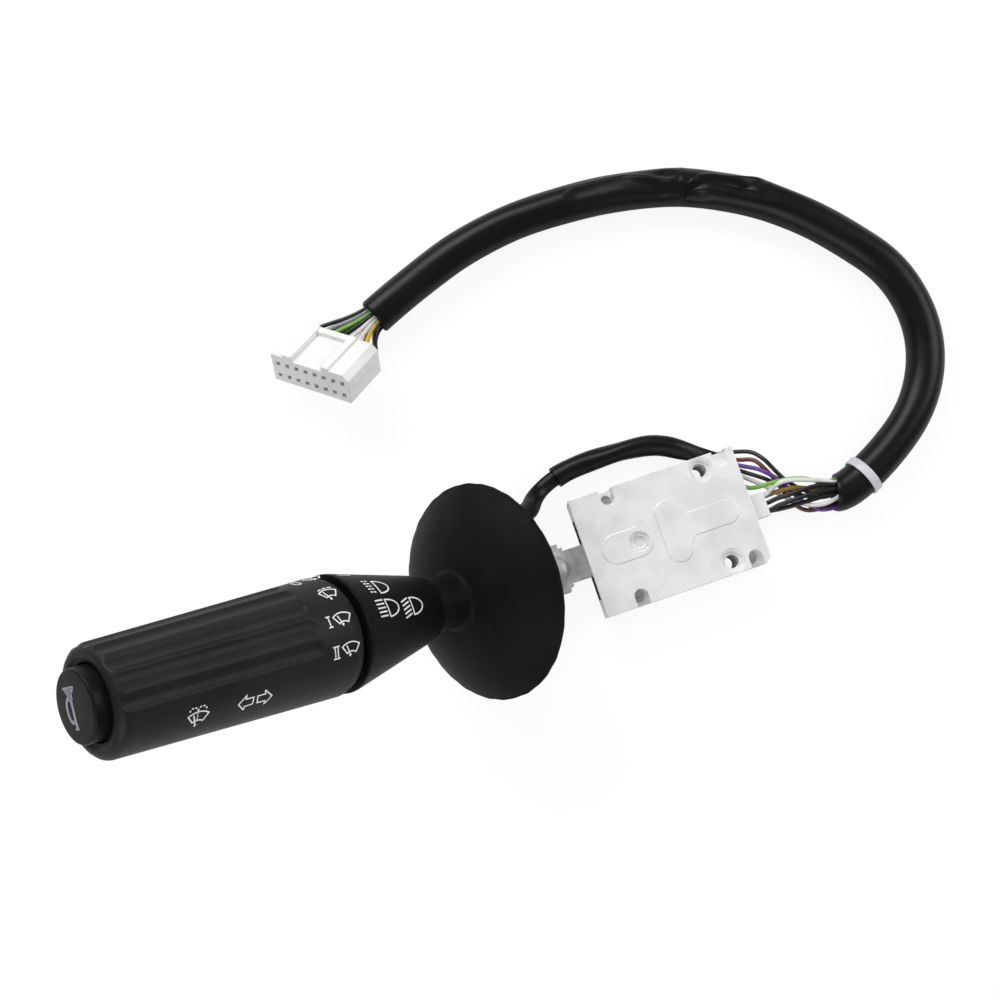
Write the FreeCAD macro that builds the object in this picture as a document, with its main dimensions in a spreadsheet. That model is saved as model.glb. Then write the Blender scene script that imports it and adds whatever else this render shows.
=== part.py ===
import FreeCAD, Part
import math
import os
import re

import Sketcher

App = FreeCAD
doc = App.newDocument("CombinationStalkSwitch")
sheet = doc.addObject("Spreadsheet::Sheet", "Sizes")

# The frame: the origin lies midway between the two fixing holes on the mounting face at the back.
# X runs along the block from the lever to the harness, Y across it, Z out of the zinc face.
# Driving dimensions in millimetres and degrees.
SIZES = [
    ("block_long", 66.4, "zinc block along X"),
    ("block_wide", 47.0, "zinc block along Y"),
    ("block_high", 20.0, "mounting face to zinc face"),
    ("base_thick", 4.5, "plastic contact base"),
    ("base_margin", 0.2, "base inside the outline of the zinc"),
    ("clip_in", 3.8, "clipped corner of the base along X"),
    ("clip_low", 16.8, "clipped corner of the base along Y"),
    ("deck_rise", 0.5, "contact deck on the base"),
    ("strip_thick", 0.4, "contact strip"),
    ("strip_half", 1.2, "half width of a contact strip"),
    ("strip_step", 6.0, "between contact strips"),
    ("hole_inset", 14.4, "fixing holes to the harness end"),
    ("hole_spacing", 37.0, "between the two fixing holes"),
    ("hole_radius", 2.65, "fixing hole"),
    ("seat_radius", 4.0, "screw seat round a fixing hole"),
    ("seat_deep", 1.6, "depth of the screw seat"),
    ("ring_radius", 4.8, "shallow ring round the screw seat"),
    ("ring_deep", 0.4, "depth of the shallow ring"),
    ("boss_radius", 4.0, "zinc boss through the base"),
    ("end_wall", 3.4, "zinc wall at the lever end"),
    ("ceiling", 3.5, "zinc over the mechanism"),
    ("chamber_half", 15.0, "half width of the mechanism chamber"),
    ("deck_half", 12.0, "half width of the contact deck"),
    ("deck_room", 22.1, "contact deck from the turn pivot"),
    ("corner_cut", 2.5, "cut corner of the block"),
    ("slot_half", 16.2, "half width of the lever slot"),
    ("slot_top", 15.4, "upper edge of the lever slot"),
    ("notch_wide", 5.3, "rivet notch along X"),
    ("notch_deep", 6.4, "rivet notch across the edge"),
    ("notch_floor", 8.0, "ledge inside a rivet notch"),
    ("notch_reach", 37.2, "left notches from the fixing holes"),
    ("notch_lead", 8.8, "right notches from the fixing holes"),
    ("rivet_radius", 1.25, "base rivet"),
    ("rivet_head", 2.1, "rivet head radius"),
    ("pad_rise", 0.3, "raised pads on the zinc face"),
    ("bar_reach", 22.25, "cross bar of the T pad from the fixing holes"),
    ("bar_half", 4.8, "half width of the cross bar"),
    ("bar_end", 7.8, "round ends of the cross bar"),
    ("arm_half", 4.6, "half width of the arm of the T pad"),
    ("arm_reach", 4.2, "round end of the arm"),
    ("pivot_reach", 31.1, "turn pivot from the fixing holes"),
    ("pivot_radius", 2.5, "turn pivot pin"),
    ("pin_foot", 1.5, "lower end of the pivot pin"),
    ("rivet_flat", 0.8, "rivet head thickness"),
    ("dimple_radius", 3.9, "blind dimple over the turn pivot"),
    ("dimple_deep", 2.2, "depth of the dimple"),
    ("tilt_arm", 9.9, "tilt pin beyond the turn pivot"),
    ("tilt_radius", 2.0, "tilt pin"),
    ("tilt_height", 10.0, "tilt pin over the mounting face"),
    ("ear_half", 10.2, "half width over the rotor ears"),
    ("ear_gap", 7.0, "half gap between the rotor ears"),
    ("ear_radius", 4.2, "rounded end of a rotor ear"),
    ("rotor_hub", 5.6, "rotor hub radius"),
    ("rotor_foot", 6.2, "underside of the rotor"),
    ("rotor_top", 14.8, "upper side of the rotor"),
    ("nose_reach", 15.4, "rotor nose from the pivot"),
    ("nose_half", 4.6, "half width of the rotor nose"),
    ("track_radius", 18.4, "detent track round the pivot"),
    ("track_notch", 1.3, "radius of a detent notch"),
    ("turn_step", 12.0, "turn angle to either side"),
    ("track_face", 14.6, "flat faces of the track from the pivot"),
    ("plunger_radius", 2.3, "detent plunger"),
    ("plunger_long", 6.0, "straight part of the plunger"),
    ("eye_radius", 3.4, "eye of the lever tongue"),
    ("flange_drop", 8.0, "flange below the tilt pin"),
    ("screw_radius", 2.0, "set screw of the socket"),
    ("screw_station", 18.0, "set screw along the lever"),
    ("grommet_face", 8.2, "outer face of the lead grommet"),
    ("wire_radius", 0.9, "single wire"),
    ("ball_radius", 1.5, "wiper detent ball"),
    ("ball_orbit", 13.1, "ball from the lever axis"),
    ("bundle_radius", 4.5, "bundle at the connector"),
    ("lead_wires_radius", 2.0, "wires of the lever lead"),
    ("holder_wires_radius", 3.6, "wires at the holder"),
    ("lock_level", -1.2, "lock plate between the cavity rows"),
    ("tongue_wide", 13.0, "lever tongue across"),
    ("tongue_thick", 6.0, "lever tongue thickness"),
    ("flange_lead", 0.5, "near face of the flange before the kink"),
    ("flange_thick", 4.5, "flange plate"),
    ("flange_wide", 18.8, "flange plate across"),
    ("flange_high", 17.0, "flange plate height"),
    ("step_thick", 1.6, "step beside the flange"),
    ("step_wide", 15.6, "width of the step"),
    ("kink_reach", 62.0, "lever kink from the fixing holes"),
    ("lever_rise", 43.2, "lever above the mounting face, degrees"),
    ("socket_radius", 8.5, "zinc socket"),
    ("socket_end", 25.2, "end of the socket"),
    ("tube_radius", 6.0, "steel lever tube"),
    ("tube_bore", 4.6, "bore of the lever tube"),
    ("tube_start", 9.0, "lower end of the tube"),
    ("tube_end", 113.8, "upper end of the tube"),
    ("lead_exit", 30.0, "lead grommet along the lever"),
    ("rim_station", 44.0, "shield rim along the lever"),
    ("shield_radius", 40.6, "rubber shield"),
    ("shield_rise", 16.0, "shield dome height"),
    ("shield_skin", 2.2, "rubber thickness"),
    ("neck_radius", 9.8, "neck of the shield"),
    ("neck_fillet", 3.0, "fillet between neck and dome"),
    ("cone_station", 73.6, "small end of the cone"),
    ("cone_end", 114.0, "large end of the cone"),
    ("cone_small", 11.9, "cone radius at the small end"),
    ("cone_large", 20.3, "cone radius at the large end"),
    ("cone_wall", 2.2, "cone wall"),
    ("collar_gap", 2.0, "gap between cone and barrel"),
    ("barrel_long", 87.3, "barrel length"),
    ("collar_radius", 20.2, "barrel radius at the collar"),
    ("tip_radius", 17.6, "barrel radius at the tip"),
    ("tip_round", 3.2, "rounding of the tip"),
    ("collar_slope", 3.0, "sloped shoulder of the collar"),
    ("barrel_bore", 15.35, "bore of the barrel"),
    ("flute_pitch", 21.18, "angle between flutes"),
    ("flute_count", 13.0, "number of flutes"),
    ("flute_first", -13.5, "angle of the first flute"),
    ("flute_cutter", 4.2, "radius of a flute"),
    ("flute_deep", 1.0, "depth of a flute"),
    ("flute_start", 15.0, "scooped end from the collar"),
    ("core_radius", 11.0, "switch core"),
    ("core_bore", 7.2, "bore of the switch core"),
    ("core_seat", 16.5, "core flange radius"),
    ("core_start", 98.0, "inner end of the core"),
    ("core_flange", 108.0, "inner side of the core flange"),
    ("neck_drop", 17.3, "shoulder of the core under the barrel end"),
    ("core_drop", 7.3, "outer end of the core under the barrel end"),
    ("neck_outer", 8.8, "core radius inside the button"),
    ("slider_start", 121.0, "inner end of the washer slider"),
    ("slider_room", 26.0, "washer slider to the shoulder of the core"),
    ("washer_travel", 1.5, "push of the barrel"),
    ("horn_travel", 2.0, "push of the horn button"),
    ("button_radius", 11.5, "horn button"),
    ("button_proud", 4.2, "button over the barrel end"),
    ("running", 0.1, "running clearance on a radius"),
    ("fit", 0.05, "sliding fit on a radius"),
    ("holder_reach", 21.4, "outer face of the wire holder"),
    ("holder_low", -6.2, "lower side of the wire holder"),
    ("holder_high", 3.4, "upper side of the wire holder"),
    ("holder_top", 11.8, "top of the wire holder"),
    ("loom_radius", 7.4, "loom sleeve"),
    ("lead_radius", 4.0, "lever lead sleeve"),
    ("tie_wide", 3.6, "tie ring along the sleeve"),
    ("tie_thick", 0.9, "tie ring over the sleeve"),
    ("plug_wide", 35.4, "connector width"),
    ("plug_deep", 21.5, "connector depth"),
    ("plug_high", 13.8, "connector height"),
    ("plug_step", 4.25, "cavity pitch"),
    ("row_high", 1.7, "upper cavity row over the middle"),
    ("row_low", -3.9, "lower cavity row under the middle"),
    ("cavity_half", 0.9, "half width of a cavity"),
    ("plug_x", -123.2, "connector middle along X"),
    ("plug_y", 106.2, "connector middle along Y"),
    ("plug_z", 17.85, "connector middle over the mounting face"),
    ("plug_yaw", 140.3, "connector turned about Z, degrees"),
    ("plug_dip", 18.5, "connector turned about Y, degrees"),
    ("plug_roll", 34.7, "connector turned about X, degrees"),
]


def fill_sheet():
    """Write every driving dimension into the sheet as a plain number with an alias."""
    for row, (alias, number, note) in enumerate(SIZES, start=1):
        sheet.set("A%d" % row, note)
        sheet.set("B%d" % row, str(number))
        sheet.setAlias("B%d" % row, alias)
    doc.recompute()


fill_sheet()
NAMES = {alias for alias, number, note in SIZES}


def bound(text):
    """Turn the bare aliases of a formula into references to the sheet."""
    refer = lambda word: "Sizes." + word if word in NAMES else word
    return re.sub(r"[a-z_]+", lambda m: refer(m.group(0)), str(text))


def value(text):
    """The present value of a formula."""
    result = sheet.evalExpression(bound(text))
    return float(getattr(result, "Value", result))


def tie(target, prop, text):
    """Bind one property to a formula of the sheet."""
    target.setExpression(prop, bound(text))


LEVER = {"x": "-kink_reach", "y": "0", "z": "tilt_height", "turn": "lever_rise - 90"}


def on_lever(piece):
    """Stand a piece that is drawn about Z on the lever axis: its zero is the kink of the lever."""
    piece.Placement = App.Placement(App.Vector(), App.Rotation(App.Vector(0, 1, 0), 1))
    for axis in "xyz":
        tie(piece, "Placement.Base." + axis, LEVER[axis])
    tie(piece, "Placement.Rotation.Angle", LEVER["turn"])


def lever_point(station, up=0.0, side=0.0):
    """A point given along the lever, up from its axis and sideways, in the frame of the part."""
    rise = math.radians(value("lever_rise"))
    along = App.Vector(-math.cos(rise), 0, math.sin(rise))
    upward = App.Vector(math.sin(rise), 0, math.cos(rise))
    kink = App.Vector(-value("kink_reach"), 0, value("tilt_height"))
    return kink + along * station + upward * up + App.Vector(0, side, 0)


def new_body(label):
    body = doc.addObject("PartDesign::Body", label)
    body.Label = label
    return body


def plane_of(body, role):
    return next(item for item in body.Origin.OriginFeatures if item.Role == role)


def new_sketch(body, role, offset="0"):
    """A sketch on one of the body's own origin planes, lifted by a formula."""
    sketch = body.newObject("Sketcher::SketchObject", body.Name + "_sketch")
    sketch.AttachmentSupport = [(plane_of(body, role), "")]
    sketch.MapMode = "FlatFace"
    if offset != "0":
        tie(sketch, "AttachmentOffset.Base.z", offset)
    return sketch


def place_point(sketch, edge, end, x, y):
    """Tie one end of an edge to the formulas of its coordinates."""
    for kind, text, axis in (("DistanceX", x, -2), ("DistanceY", y, -1)):
        if abs(value(text)) < 1e-9:
            sketch.addConstraint(Sketcher.Constraint("PointOnObject", edge, end, axis))
        else:
            index = sketch.addConstraint(Sketcher.Constraint(kind, -1, 1, edge, end, value(text)))
            tie(sketch, "Constraints[%d]" % index, text)


def outline(sketch, corners):
    """A closed outline. A corner is (x, y) or (x, y, radius, side): a bend to the next corner."""
    spots = [App.Vector(value(c[0]), value(c[1]), 0) for c in corners]
    first = sketch.GeometryCount
    ends = []
    for k, corner in enumerate(corners):
        a, b = spots[k], spots[(k + 1) % len(spots)]
        if len(corner) == 2:
            sketch.addGeometry(Part.LineSegment(a, b), False)
            ends.append((1, 2))
            continue
        radius, side = value(corner[2]), corner[3]
        chord = b - a
        normal = App.Vector(-chord.y, chord.x, 0).normalize() * side
        reach = math.sqrt(max(radius ** 2 - (chord.Length / 2) ** 2, 0.0))
        centre = (a + b) * 0.5 + normal * reach
        start, stop = (a, b) if side > 0 else (b, a)
        angles = [math.atan2(p.y - centre.y, p.x - centre.x) for p in (start, stop)]
        circle = Part.Circle(centre, App.Vector(0, 0, 1), radius)
        sketch.addGeometry(Part.ArcOfCircle(circle, angles[0], angles[1]), False)
        ends.append((1, 2) if side > 0 else (2, 1))
    for k, corner in enumerate(corners):
        after = (k + 1) % len(corners)
        meet = (first + k, ends[k][1], first + after, ends[after][0])
        sketch.addConstraint(Sketcher.Constraint("Coincident", *meet))
        place_point(sketch, first + k, ends[k][0], corner[0], corner[1])
        if len(corner) > 2 and abs((spots[after] - spots[k]).Length - 2 * value(corner[2])) < 1e-6:
            sketch.addConstraint(Sketcher.Constraint("Symmetric", first + k, 1, first + k, 2, first + k, 3))
        elif len(corner) > 2:
            index = sketch.addConstraint(Sketcher.Constraint("Radius", first + k, value(corner[2])))
            tie(sketch, "Constraints[%d]" % index, corner[2])


def ring(sketch, x, y, radius):
    """A circle tied to the sheet by its centre and radius."""
    edge = sketch.GeometryCount
    centre = App.Vector(value(x), value(y), 0)
    sketch.addGeometry(Part.Circle(centre, App.Vector(0, 0, 1), value(radius)), False)
    place_point(sketch, edge, 3, x, y)
    index = sketch.addConstraint(Sketcher.Constraint("Radius", edge, value(radius)))
    tie(sketch, "Constraints[%d]" % index, radius)


def draw(body, role, offset, shapes):
    """A sketch of several outlines and circles; a circle is (x, y, radius)."""
    sketch = new_sketch(body, role, offset)
    for shape in shapes:
        if isinstance(shape, list):
            outline(sketch, shape)
        else:
            ring(sketch, *shape)
    return sketch


def volume_of(body):
    doc.recompute()
    return body.Shape.Volume


def pad(body, shapes, bottom, top, role="XY_Plane"):
    """Add material between two levels."""
    sketch = draw(body, role, bottom, shapes)
    feature = body.newObject("PartDesign::Pad", body.Name + "_pad")
    feature.Profile = sketch
    tie(feature, "Length", "(%s) - (%s)" % (top, bottom))
    body.Tip = feature
    doc.recompute()
    return feature


def pocket(body, shapes, bottom, top, role="XY_Plane"):
    """Take material away between two levels and check that some went."""
    before = volume_of(body)
    sketch = draw(body, role, bottom, shapes)
    feature = body.newObject("PartDesign::Pocket", body.Name + "_pocket")
    feature.Profile = sketch
    feature.Reversed = True
    tie(feature, "Length", "(%s) - (%s)" % (top, bottom))
    body.Tip = feature
    if not volume_of(body) < before:
        raise RuntimeError("a pocket of %s cut nothing" % body.Label)
    return feature


def turned(label, corners):
    """A round piece: an outline of (radius, height) corners revolved about Z."""
    body = new_body(label)
    sketch = draw(body, "XZ_Plane", "0", [corners])
    feature = body.newObject("PartDesign::Revolution", label + "_turn")
    feature.Profile = sketch
    feature.ReferenceAxis = (sketch, ["V_Axis"])
    feature.Angle = 360
    body.Tip = feature
    return body


def cylinder(label, radius, height):
    piece = doc.addObject("Part::Cylinder", label)
    piece.Label = label
    tie(piece, "Radius", radius)
    tie(piece, "Height", height)
    return piece


def block(label, low, high):
    """A box between two corners given as formulas."""
    piece = doc.addObject("Part::Box", label)
    piece.Label = label
    for side, axis, a, b in zip(("Length", "Width", "Height"), "xyz", low, high):
        tie(piece, side, "(%s) - (%s)" % (b, a))
        tie(piece, "Placement.Base." + axis, a)
    return piece


def joined(label, pieces):
    fuse = doc.addObject("Part::MultiFuse", label)
    fuse.Label = label
    fuse.Shapes = pieces
    return fuse


def group_of(label, pieces):
    """Separate solids kept in one node."""
    group = doc.addObject("Part::Compound", label)
    group.Label = label
    group.Links = pieces
    return group


def taken(label, base, tool):
    cut = doc.addObject("Part::Cut", label)
    cut.Label = label
    cut.Base = base
    cut.Tool = tool
    return cut


def freeform(label, shape):
    feature = doc.addObject("Part::Feature", label)
    feature.Label = label
    feature.Shape = shape
    return feature


# Die-cast zinc block
LEFT = "hole_inset - block_long"
HALF = "block_wide / 2"
HOLE_Y = "hole_spacing / 2"
DECK_AT = "-pivot_reach + deck_room"


def block_plan(margin="0"):
    """The plan of the block with its cut corner, drawn in by a margin."""
    left = "%s + %s" % (LEFT, margin)
    right = "hole_inset - %s" % margin
    far = "%s - %s" % (HALF, margin)
    return [
        (left, "-(%s)" % far),
        ("%s - corner_cut" % right, "-(%s)" % far),
        (right, "-(%s) + corner_cut" % far),
        (right, far),
        (left, far),
    ]


def oblong(left, right, near, far):
    """A rectangle between four formulas."""
    return [(left, near), (right, near), (right, far), (left, far)]


def notch(x, side, half="notch_wide / 2"):
    """A rivet notch: straight sides, a round bottom, open at the edge of the block."""
    inner = "%s * (%s - notch_deep + notch_wide / 2)" % (side, HALF)
    edge = "%s * (%s + 1)" % (side, HALF)
    low, high = "%s - %s" % (x, half), "%s + %s" % (x, half)
    turn = 1 if side == 1 else -1
    return [(low, inner, half, turn), (high, inner), (high, edge), (low, edge)]


RIVETS = (("-notch_reach", 1), ("-notch_reach", -1), ("notch_lead", -1))


def rivet_y(side):
    """A rivet stands in the round bottom of its notch."""
    return "%d * (%s - notch_deep + notch_wide / 2)" % (side, HALF)


def die_cast_housing():
    body = new_body("die_cast_housing")
    pad(body, [block_plan()], "base_thick", "block_high")
    # bosses that reach through the base and clamp the bracket metal to metal
    pad(body, [("0", HOLE_Y, "boss_radius"), ("0", "-" + HOLE_Y, "boss_radius")], "0", "base_thick + 1")
    # mechanism chamber and the narrower contact deck, open towards the base
    deck_far = "hole_inset - end_wall"
    chamber = [
        ("%s + end_wall" % LEFT, "-chamber_half"),
        (DECK_AT,"-chamber_half"),
        (DECK_AT,"-deck_half"),
        (deck_far, "-deck_half"),
        (deck_far, "deck_half"),
        (DECK_AT,"deck_half"),
        (DECK_AT,"chamber_half"),
        ("%s + end_wall" % LEFT, "chamber_half"),
    ]
    pocket(body, [chamber], "base_thick", "block_high - ceiling")
    # collar round the turn pivot, hanging from the ceiling
    ceiling = "block_high - ceiling"
    collar = [("-pivot_reach", "0", "pivot_radius + 2.5"), ("-pivot_reach", "0", "pivot_radius + fit")]
    pad(body, [collar[0], collar[1]], "%s - 1.3" % ceiling, "%s + 0.01" % ceiling)
    # slot that the lever swings in
    slot_in = "%s + end_wall + 0.5" % LEFT
    pocket(body, [oblong("%s - 1" % LEFT, slot_in, "-slot_half", "slot_half")], "base_thick - 1", "slot_top")
    # mouth for the wire holder
    mouth = oblong("%s - 0.5" % deck_far, "hole_inset + 1", "holder_low - fit", "holder_high + fit")
    pocket(body, [mouth], "base_thick - 1", "holder_top + fit")
    # notches over the rivets; the lower left one runs out through the side
    for x, side in (("-notch_reach", 1), ("-notch_reach", -1), ("notch_lead", 1), ("notch_lead", -1)):
        pocket(body, [notch(x, side)], "notch_floor", "block_high + 1")
    for x, side in RIVETS:
        pocket(body, [(x, rivet_y(side), "rivet_radius + fit")], "base_thick - 1", "notch_floor + 1")
    # raised pads of the casting
    oval_half = "dimple_radius + 1.8"
    near, far = "-pivot_reach - 0.5", "-pivot_reach - 9.1"
    oval = [
        (near, "-(%s)" % oval_half, oval_half, 1),
        (near, oval_half),
        (far, oval_half, oval_half, 1),
        (far, "-(%s)" % oval_half),
    ]
    pad(body, [oval], "block_high - 0.05", "block_high + pad_rise")
    inner = "-bar_reach + 2 * bar_half"
    tee = [
        ("-bar_reach", "bar_end"),
        ("-bar_reach", "-bar_end", "bar_half", 1),
        (inner, "-bar_end"),
        ("%s + 2.4" % inner, "-arm_half"),
        ("arm_reach", "-arm_half", "arm_half", 1),
        ("arm_reach", "arm_half"),
        ("%s + 2.2" % inner, "arm_half"),
        ("%s - 1.3" % inner, "bar_end + 2.2", "bar_half", 1),
    ]
    pad(body, [tee], "block_high - 0.05", "block_high + pad_rise")
    # fixing holes with their screw seats, and the dimple over the pivot
    for y in (HOLE_Y, "-" + HOLE_Y):
        pocket(body, [("0", y, "ring_radius")], "block_high - ring_deep", "block_high + 1")
        pocket(body, [("0", y, "seat_radius")], "block_high - ring_deep - seat_deep", "block_high + 1")
        pocket(body, [("0", y, "hole_radius")], "-1", "block_high + 1")
    pocket(body, [("-pivot_reach", "0", "dimple_radius")], "block_high - 0.9", "block_high + 1")
    pocket(body, [("-pivot_reach", "0", "dimple_radius - 1.3")], "block_high - dimple_deep", "block_high + 1")
    return body


def contact_base():
    body = new_body("contact_base")
    plan = block_plan("base_margin")
    plan[3:4] = [("hole_inset - base_margin", "clip_low"), ("clip_in", "%s - base_margin" % HALF)]
    pad(body, [plan], "0", "base_thick")
    deck = oblong("-pivot_reach + 7.1", "8", "-11.5", "11.5")
    pad(body, [deck], "base_thick - 0.1", "base_thick + deck_rise")
    seat = "rotor_foot - running"
    pad(body, [("-pivot_reach", "0", "pivot_radius + 2.5")], "base_thick - 0.1", seat)
    for y in (HOLE_Y, "-" + HOLE_Y):
        pocket(body, [("0", y, "boss_radius + 0.3")], "-1", "base_thick + 1")
    pocket(body, [("-pivot_reach", "0", "pivot_radius + fit")], "pin_foot", "rotor_foot + 1")
    for x, side in RIVETS:
        pocket(body, [(x, rivet_y(side), "rivet_radius + fit")], "-1", "base_thick + 1")
        pocket(body, [(x, rivet_y(side), "rivet_head + running")], "-1", "rivet_flat")
    return body


def stood(piece, x, y, z):
    """Stand an upright piece at a point given by formulas."""
    for axis, text in zip("xyz", (x, y, z)):
        tie(piece, "Placement.Base." + axis, text)
    return piece


def base_rivets():
    pieces = []
    for number, (x, side) in enumerate(RIVETS):
        y = rivet_y(side)
        foot = stood(cylinder("rivet_foot_%d" % number, "rivet_head", "rivet_flat"), x, y, "0")
        shank = stood(cylinder("rivet_shank_%d" % number, "rivet_radius", "notch_floor"), x, y, "0")
        head = stood(cylinder("rivet_head_%d" % number, "rivet_head", "rivet_flat"), x, y, "notch_floor")
        pieces.append(joined("rivet_%d" % number, [foot, shank, head]))
    return group_of("base_rivets", pieces)


def turn_pivot_pin():
    pin = cylinder("turn_pivot_pin", "pivot_radius", "block_high - ceiling - pin_foot")
    return stood(pin, "-pivot_reach", "0", "pin_foot")


def turn_contact_strips():
    """Three copper strips on the deck, read by the bridge under the rotor."""
    strips = []
    for number in (-1, 0, 1):
        low = ("-pivot_reach + 7.6", "%d * strip_step - strip_half" % number, "base_thick + deck_rise")
        high = ("7.8", "%d * strip_step + strip_half" % number, "base_thick + deck_rise + strip_thick")
        strips.append(block("strip_%d" % (number + 2), low, high))
    return group_of("turn_contact_strips", strips)


def turn_detent_track():
    """The cam that the detent plunger runs on: an arc about the pivot with three notches."""
    body = new_body("turn_detent_track")
    face = "-pivot_reach + track_face"
    edge = "sqrt(track_radius ^ 2 - track_face ^ 2)"
    side = "chamber_half - 0.2"
    back = DECK_AT + " - fit"
    plan = [
        (face, "-(%s)" % side),
        (back, "-(%s)" % side),
        (back, side),
        (face, side),
        (face, edge, "track_radius", -1),
        (face, "-(%s)" % edge),
    ]
    low, high = "base_thick + deck_rise + strip_thick + running", "block_high - ceiling - running"
    pad(body, [plan], low, high)
    for number in (-1, 0, 1):
        x = "-pivot_reach + track_radius * cos(%d * turn_step)" % number
        y = "track_radius * sin(%d * turn_step)" % number
        pocket(body, [(x, y, "track_notch")], low, high)
    return body


def wire_holder():
    """The white clip in the end wall with six wire bores."""
    body = new_body("wire_holder")
    inner = "hole_inset - end_wall - fit"
    lip = [
        ("%s - 2.2" % inner, "holder_low - 1"),
        (inner, "holder_low - 1"),
        (inner, "holder_high + 1"),
        ("%s - 2.2" % inner, "holder_high + 1"),
    ]
    pad(body, [lip], "base_thick", "holder_top + 0.8")
    shank = [
        ("%s - 0.1" % inner, "holder_low"),
        ("holder_reach", "holder_low"),
        ("holder_reach", "holder_high"),
        ("%s - 0.1" % inner, "holder_high"),
    ]
    pad(body, [shank], "base_thick", "holder_top")
    middle_y = "(holder_low + holder_high) / 2"
    middle_z = "(base_thick + holder_top) / 2"
    bores = []
    for column in (-1, 0, 1):
        for row in (-1, 1):
            y, z = "%s + %d * 3" % (middle_y, column), "%s + %d * 1.4" % (middle_z, row)
            bores.append((y, z, "wire_radius + fit"))
    pocket(body, bores, "0", "holder_reach + 1", "YZ_Plane")
    return body


# Turn rotor
TILT_AT = "-pivot_reach - tilt_arm"


def turn_rotor():
    """The carrier that swings about the pivot: two ears for the lever and a nose for the detent."""
    body = new_body("turn_rotor")
    ear_end = TILT_AT + " - ear_radius"
    web = TILT_AT + " + eye_radius + 0.7"
    back = "-pivot_reach + rotor_hub"
    tip = "-pivot_reach + nose_reach"
    plan = [
        (ear_end, "-ear_half"),
        (back, "-ear_half"),
        (back, "-nose_half"),
        (tip, "-nose_half"),
        (tip, "nose_half"),
        (back, "nose_half"),
        (back, "ear_half"),
        (ear_end, "ear_half"),
        (ear_end, "ear_gap"),
        (web, "ear_gap"),
        (web, "-ear_gap"),
        (ear_end, "-ear_gap"),
    ]
    pad(body, [plan], "rotor_foot", "rotor_top")
    pocket(body, [("-pivot_reach", "0", "pivot_radius + running")], "rotor_foot - 1", "rotor_top + 1")
    pocket(body, [(TILT_AT, "tilt_height", "tilt_radius + fit")], "-20", "20", "XZ_Plane")
    bore = ("0", PLUNGER_Z, "plunger_radius + running")
    pocket(body, [bore], "-pivot_reach + 4.8", "%s + 1" % tip, "YZ_Plane")
    return body


PLUNGER_Z = "(rotor_foot + rotor_top) / 2"


def tilt_pin():
    """The cross pin that the lever rocks on."""
    pin = cylinder("tilt_pin", "tilt_radius", "2 * ear_half")
    pin.Placement = App.Placement(App.Vector(), App.Rotation(App.Vector(1, 0, 0), -90))
    return stood(pin, TILT_AT, "-ear_half", "tilt_height")


def turn_detent_plunger():
    """A round-nosed plunger that stands just clear of the track."""
    centre = "-pivot_reach + track_radius - 0.3 - plunger_radius"
    barrel = cylinder("plunger_barrel", "plunger_radius", "plunger_long")
    barrel.Placement = App.Placement(App.Vector(), App.Rotation(App.Vector(0, 1, 0), 90))
    stood(barrel, "%s - plunger_long" % centre, "0", PLUNGER_Z)
    ball = doc.addObject("Part::Sphere", "plunger_ball")
    tie(ball, "Radius", "plunger_radius")
    stood(ball, centre, "0", PLUNGER_Z)
    return joined("turn_detent_plunger", [barrel, ball])


def coil(label, start, direction, length, radius, wire, turns):
    """A coil spring of round wire, from a start point along a direction."""
    pitch = (length - 2 * wire) / turns
    spine = Part.makeHelix(pitch, length - 2 * wire, radius)
    section = Part.Wire([Part.Circle(App.Vector(radius, 0, 0), App.Vector(0, 1, 0), wire).toShape()])
    placed = freeform(label, Part.Wire(spine).makePipeShell([section], True, True))
    turn = App.Rotation(App.Vector(0, 0, 1), direction)
    placed.Placement = App.Placement(start + direction * wire, turn)
    return placed


def turn_detent_spring():
    seat = -value("pivot_reach") + 4.8
    tail = -value("pivot_reach + 0.3 + plunger_radius + plunger_long") + value("track_radius")
    start = App.Vector(seat + 0.1, 0, value(PLUNGER_Z))
    return coil("turn_detent_spring", start, App.Vector(1, 0, 0), tail - seat - 0.2, 1.6, 0.35, 3)


def turn_contact_bridge():
    low = ("-pivot_reach + 5.5", "-3.6", "rotor_foot - strip_thick")
    return block("turn_contact_bridge", low, ("-pivot_reach + 13.6", "3.6", "rotor_foot"))


# Lever
FLANGE_AT = "-kink_reach + flange_lead"


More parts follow.
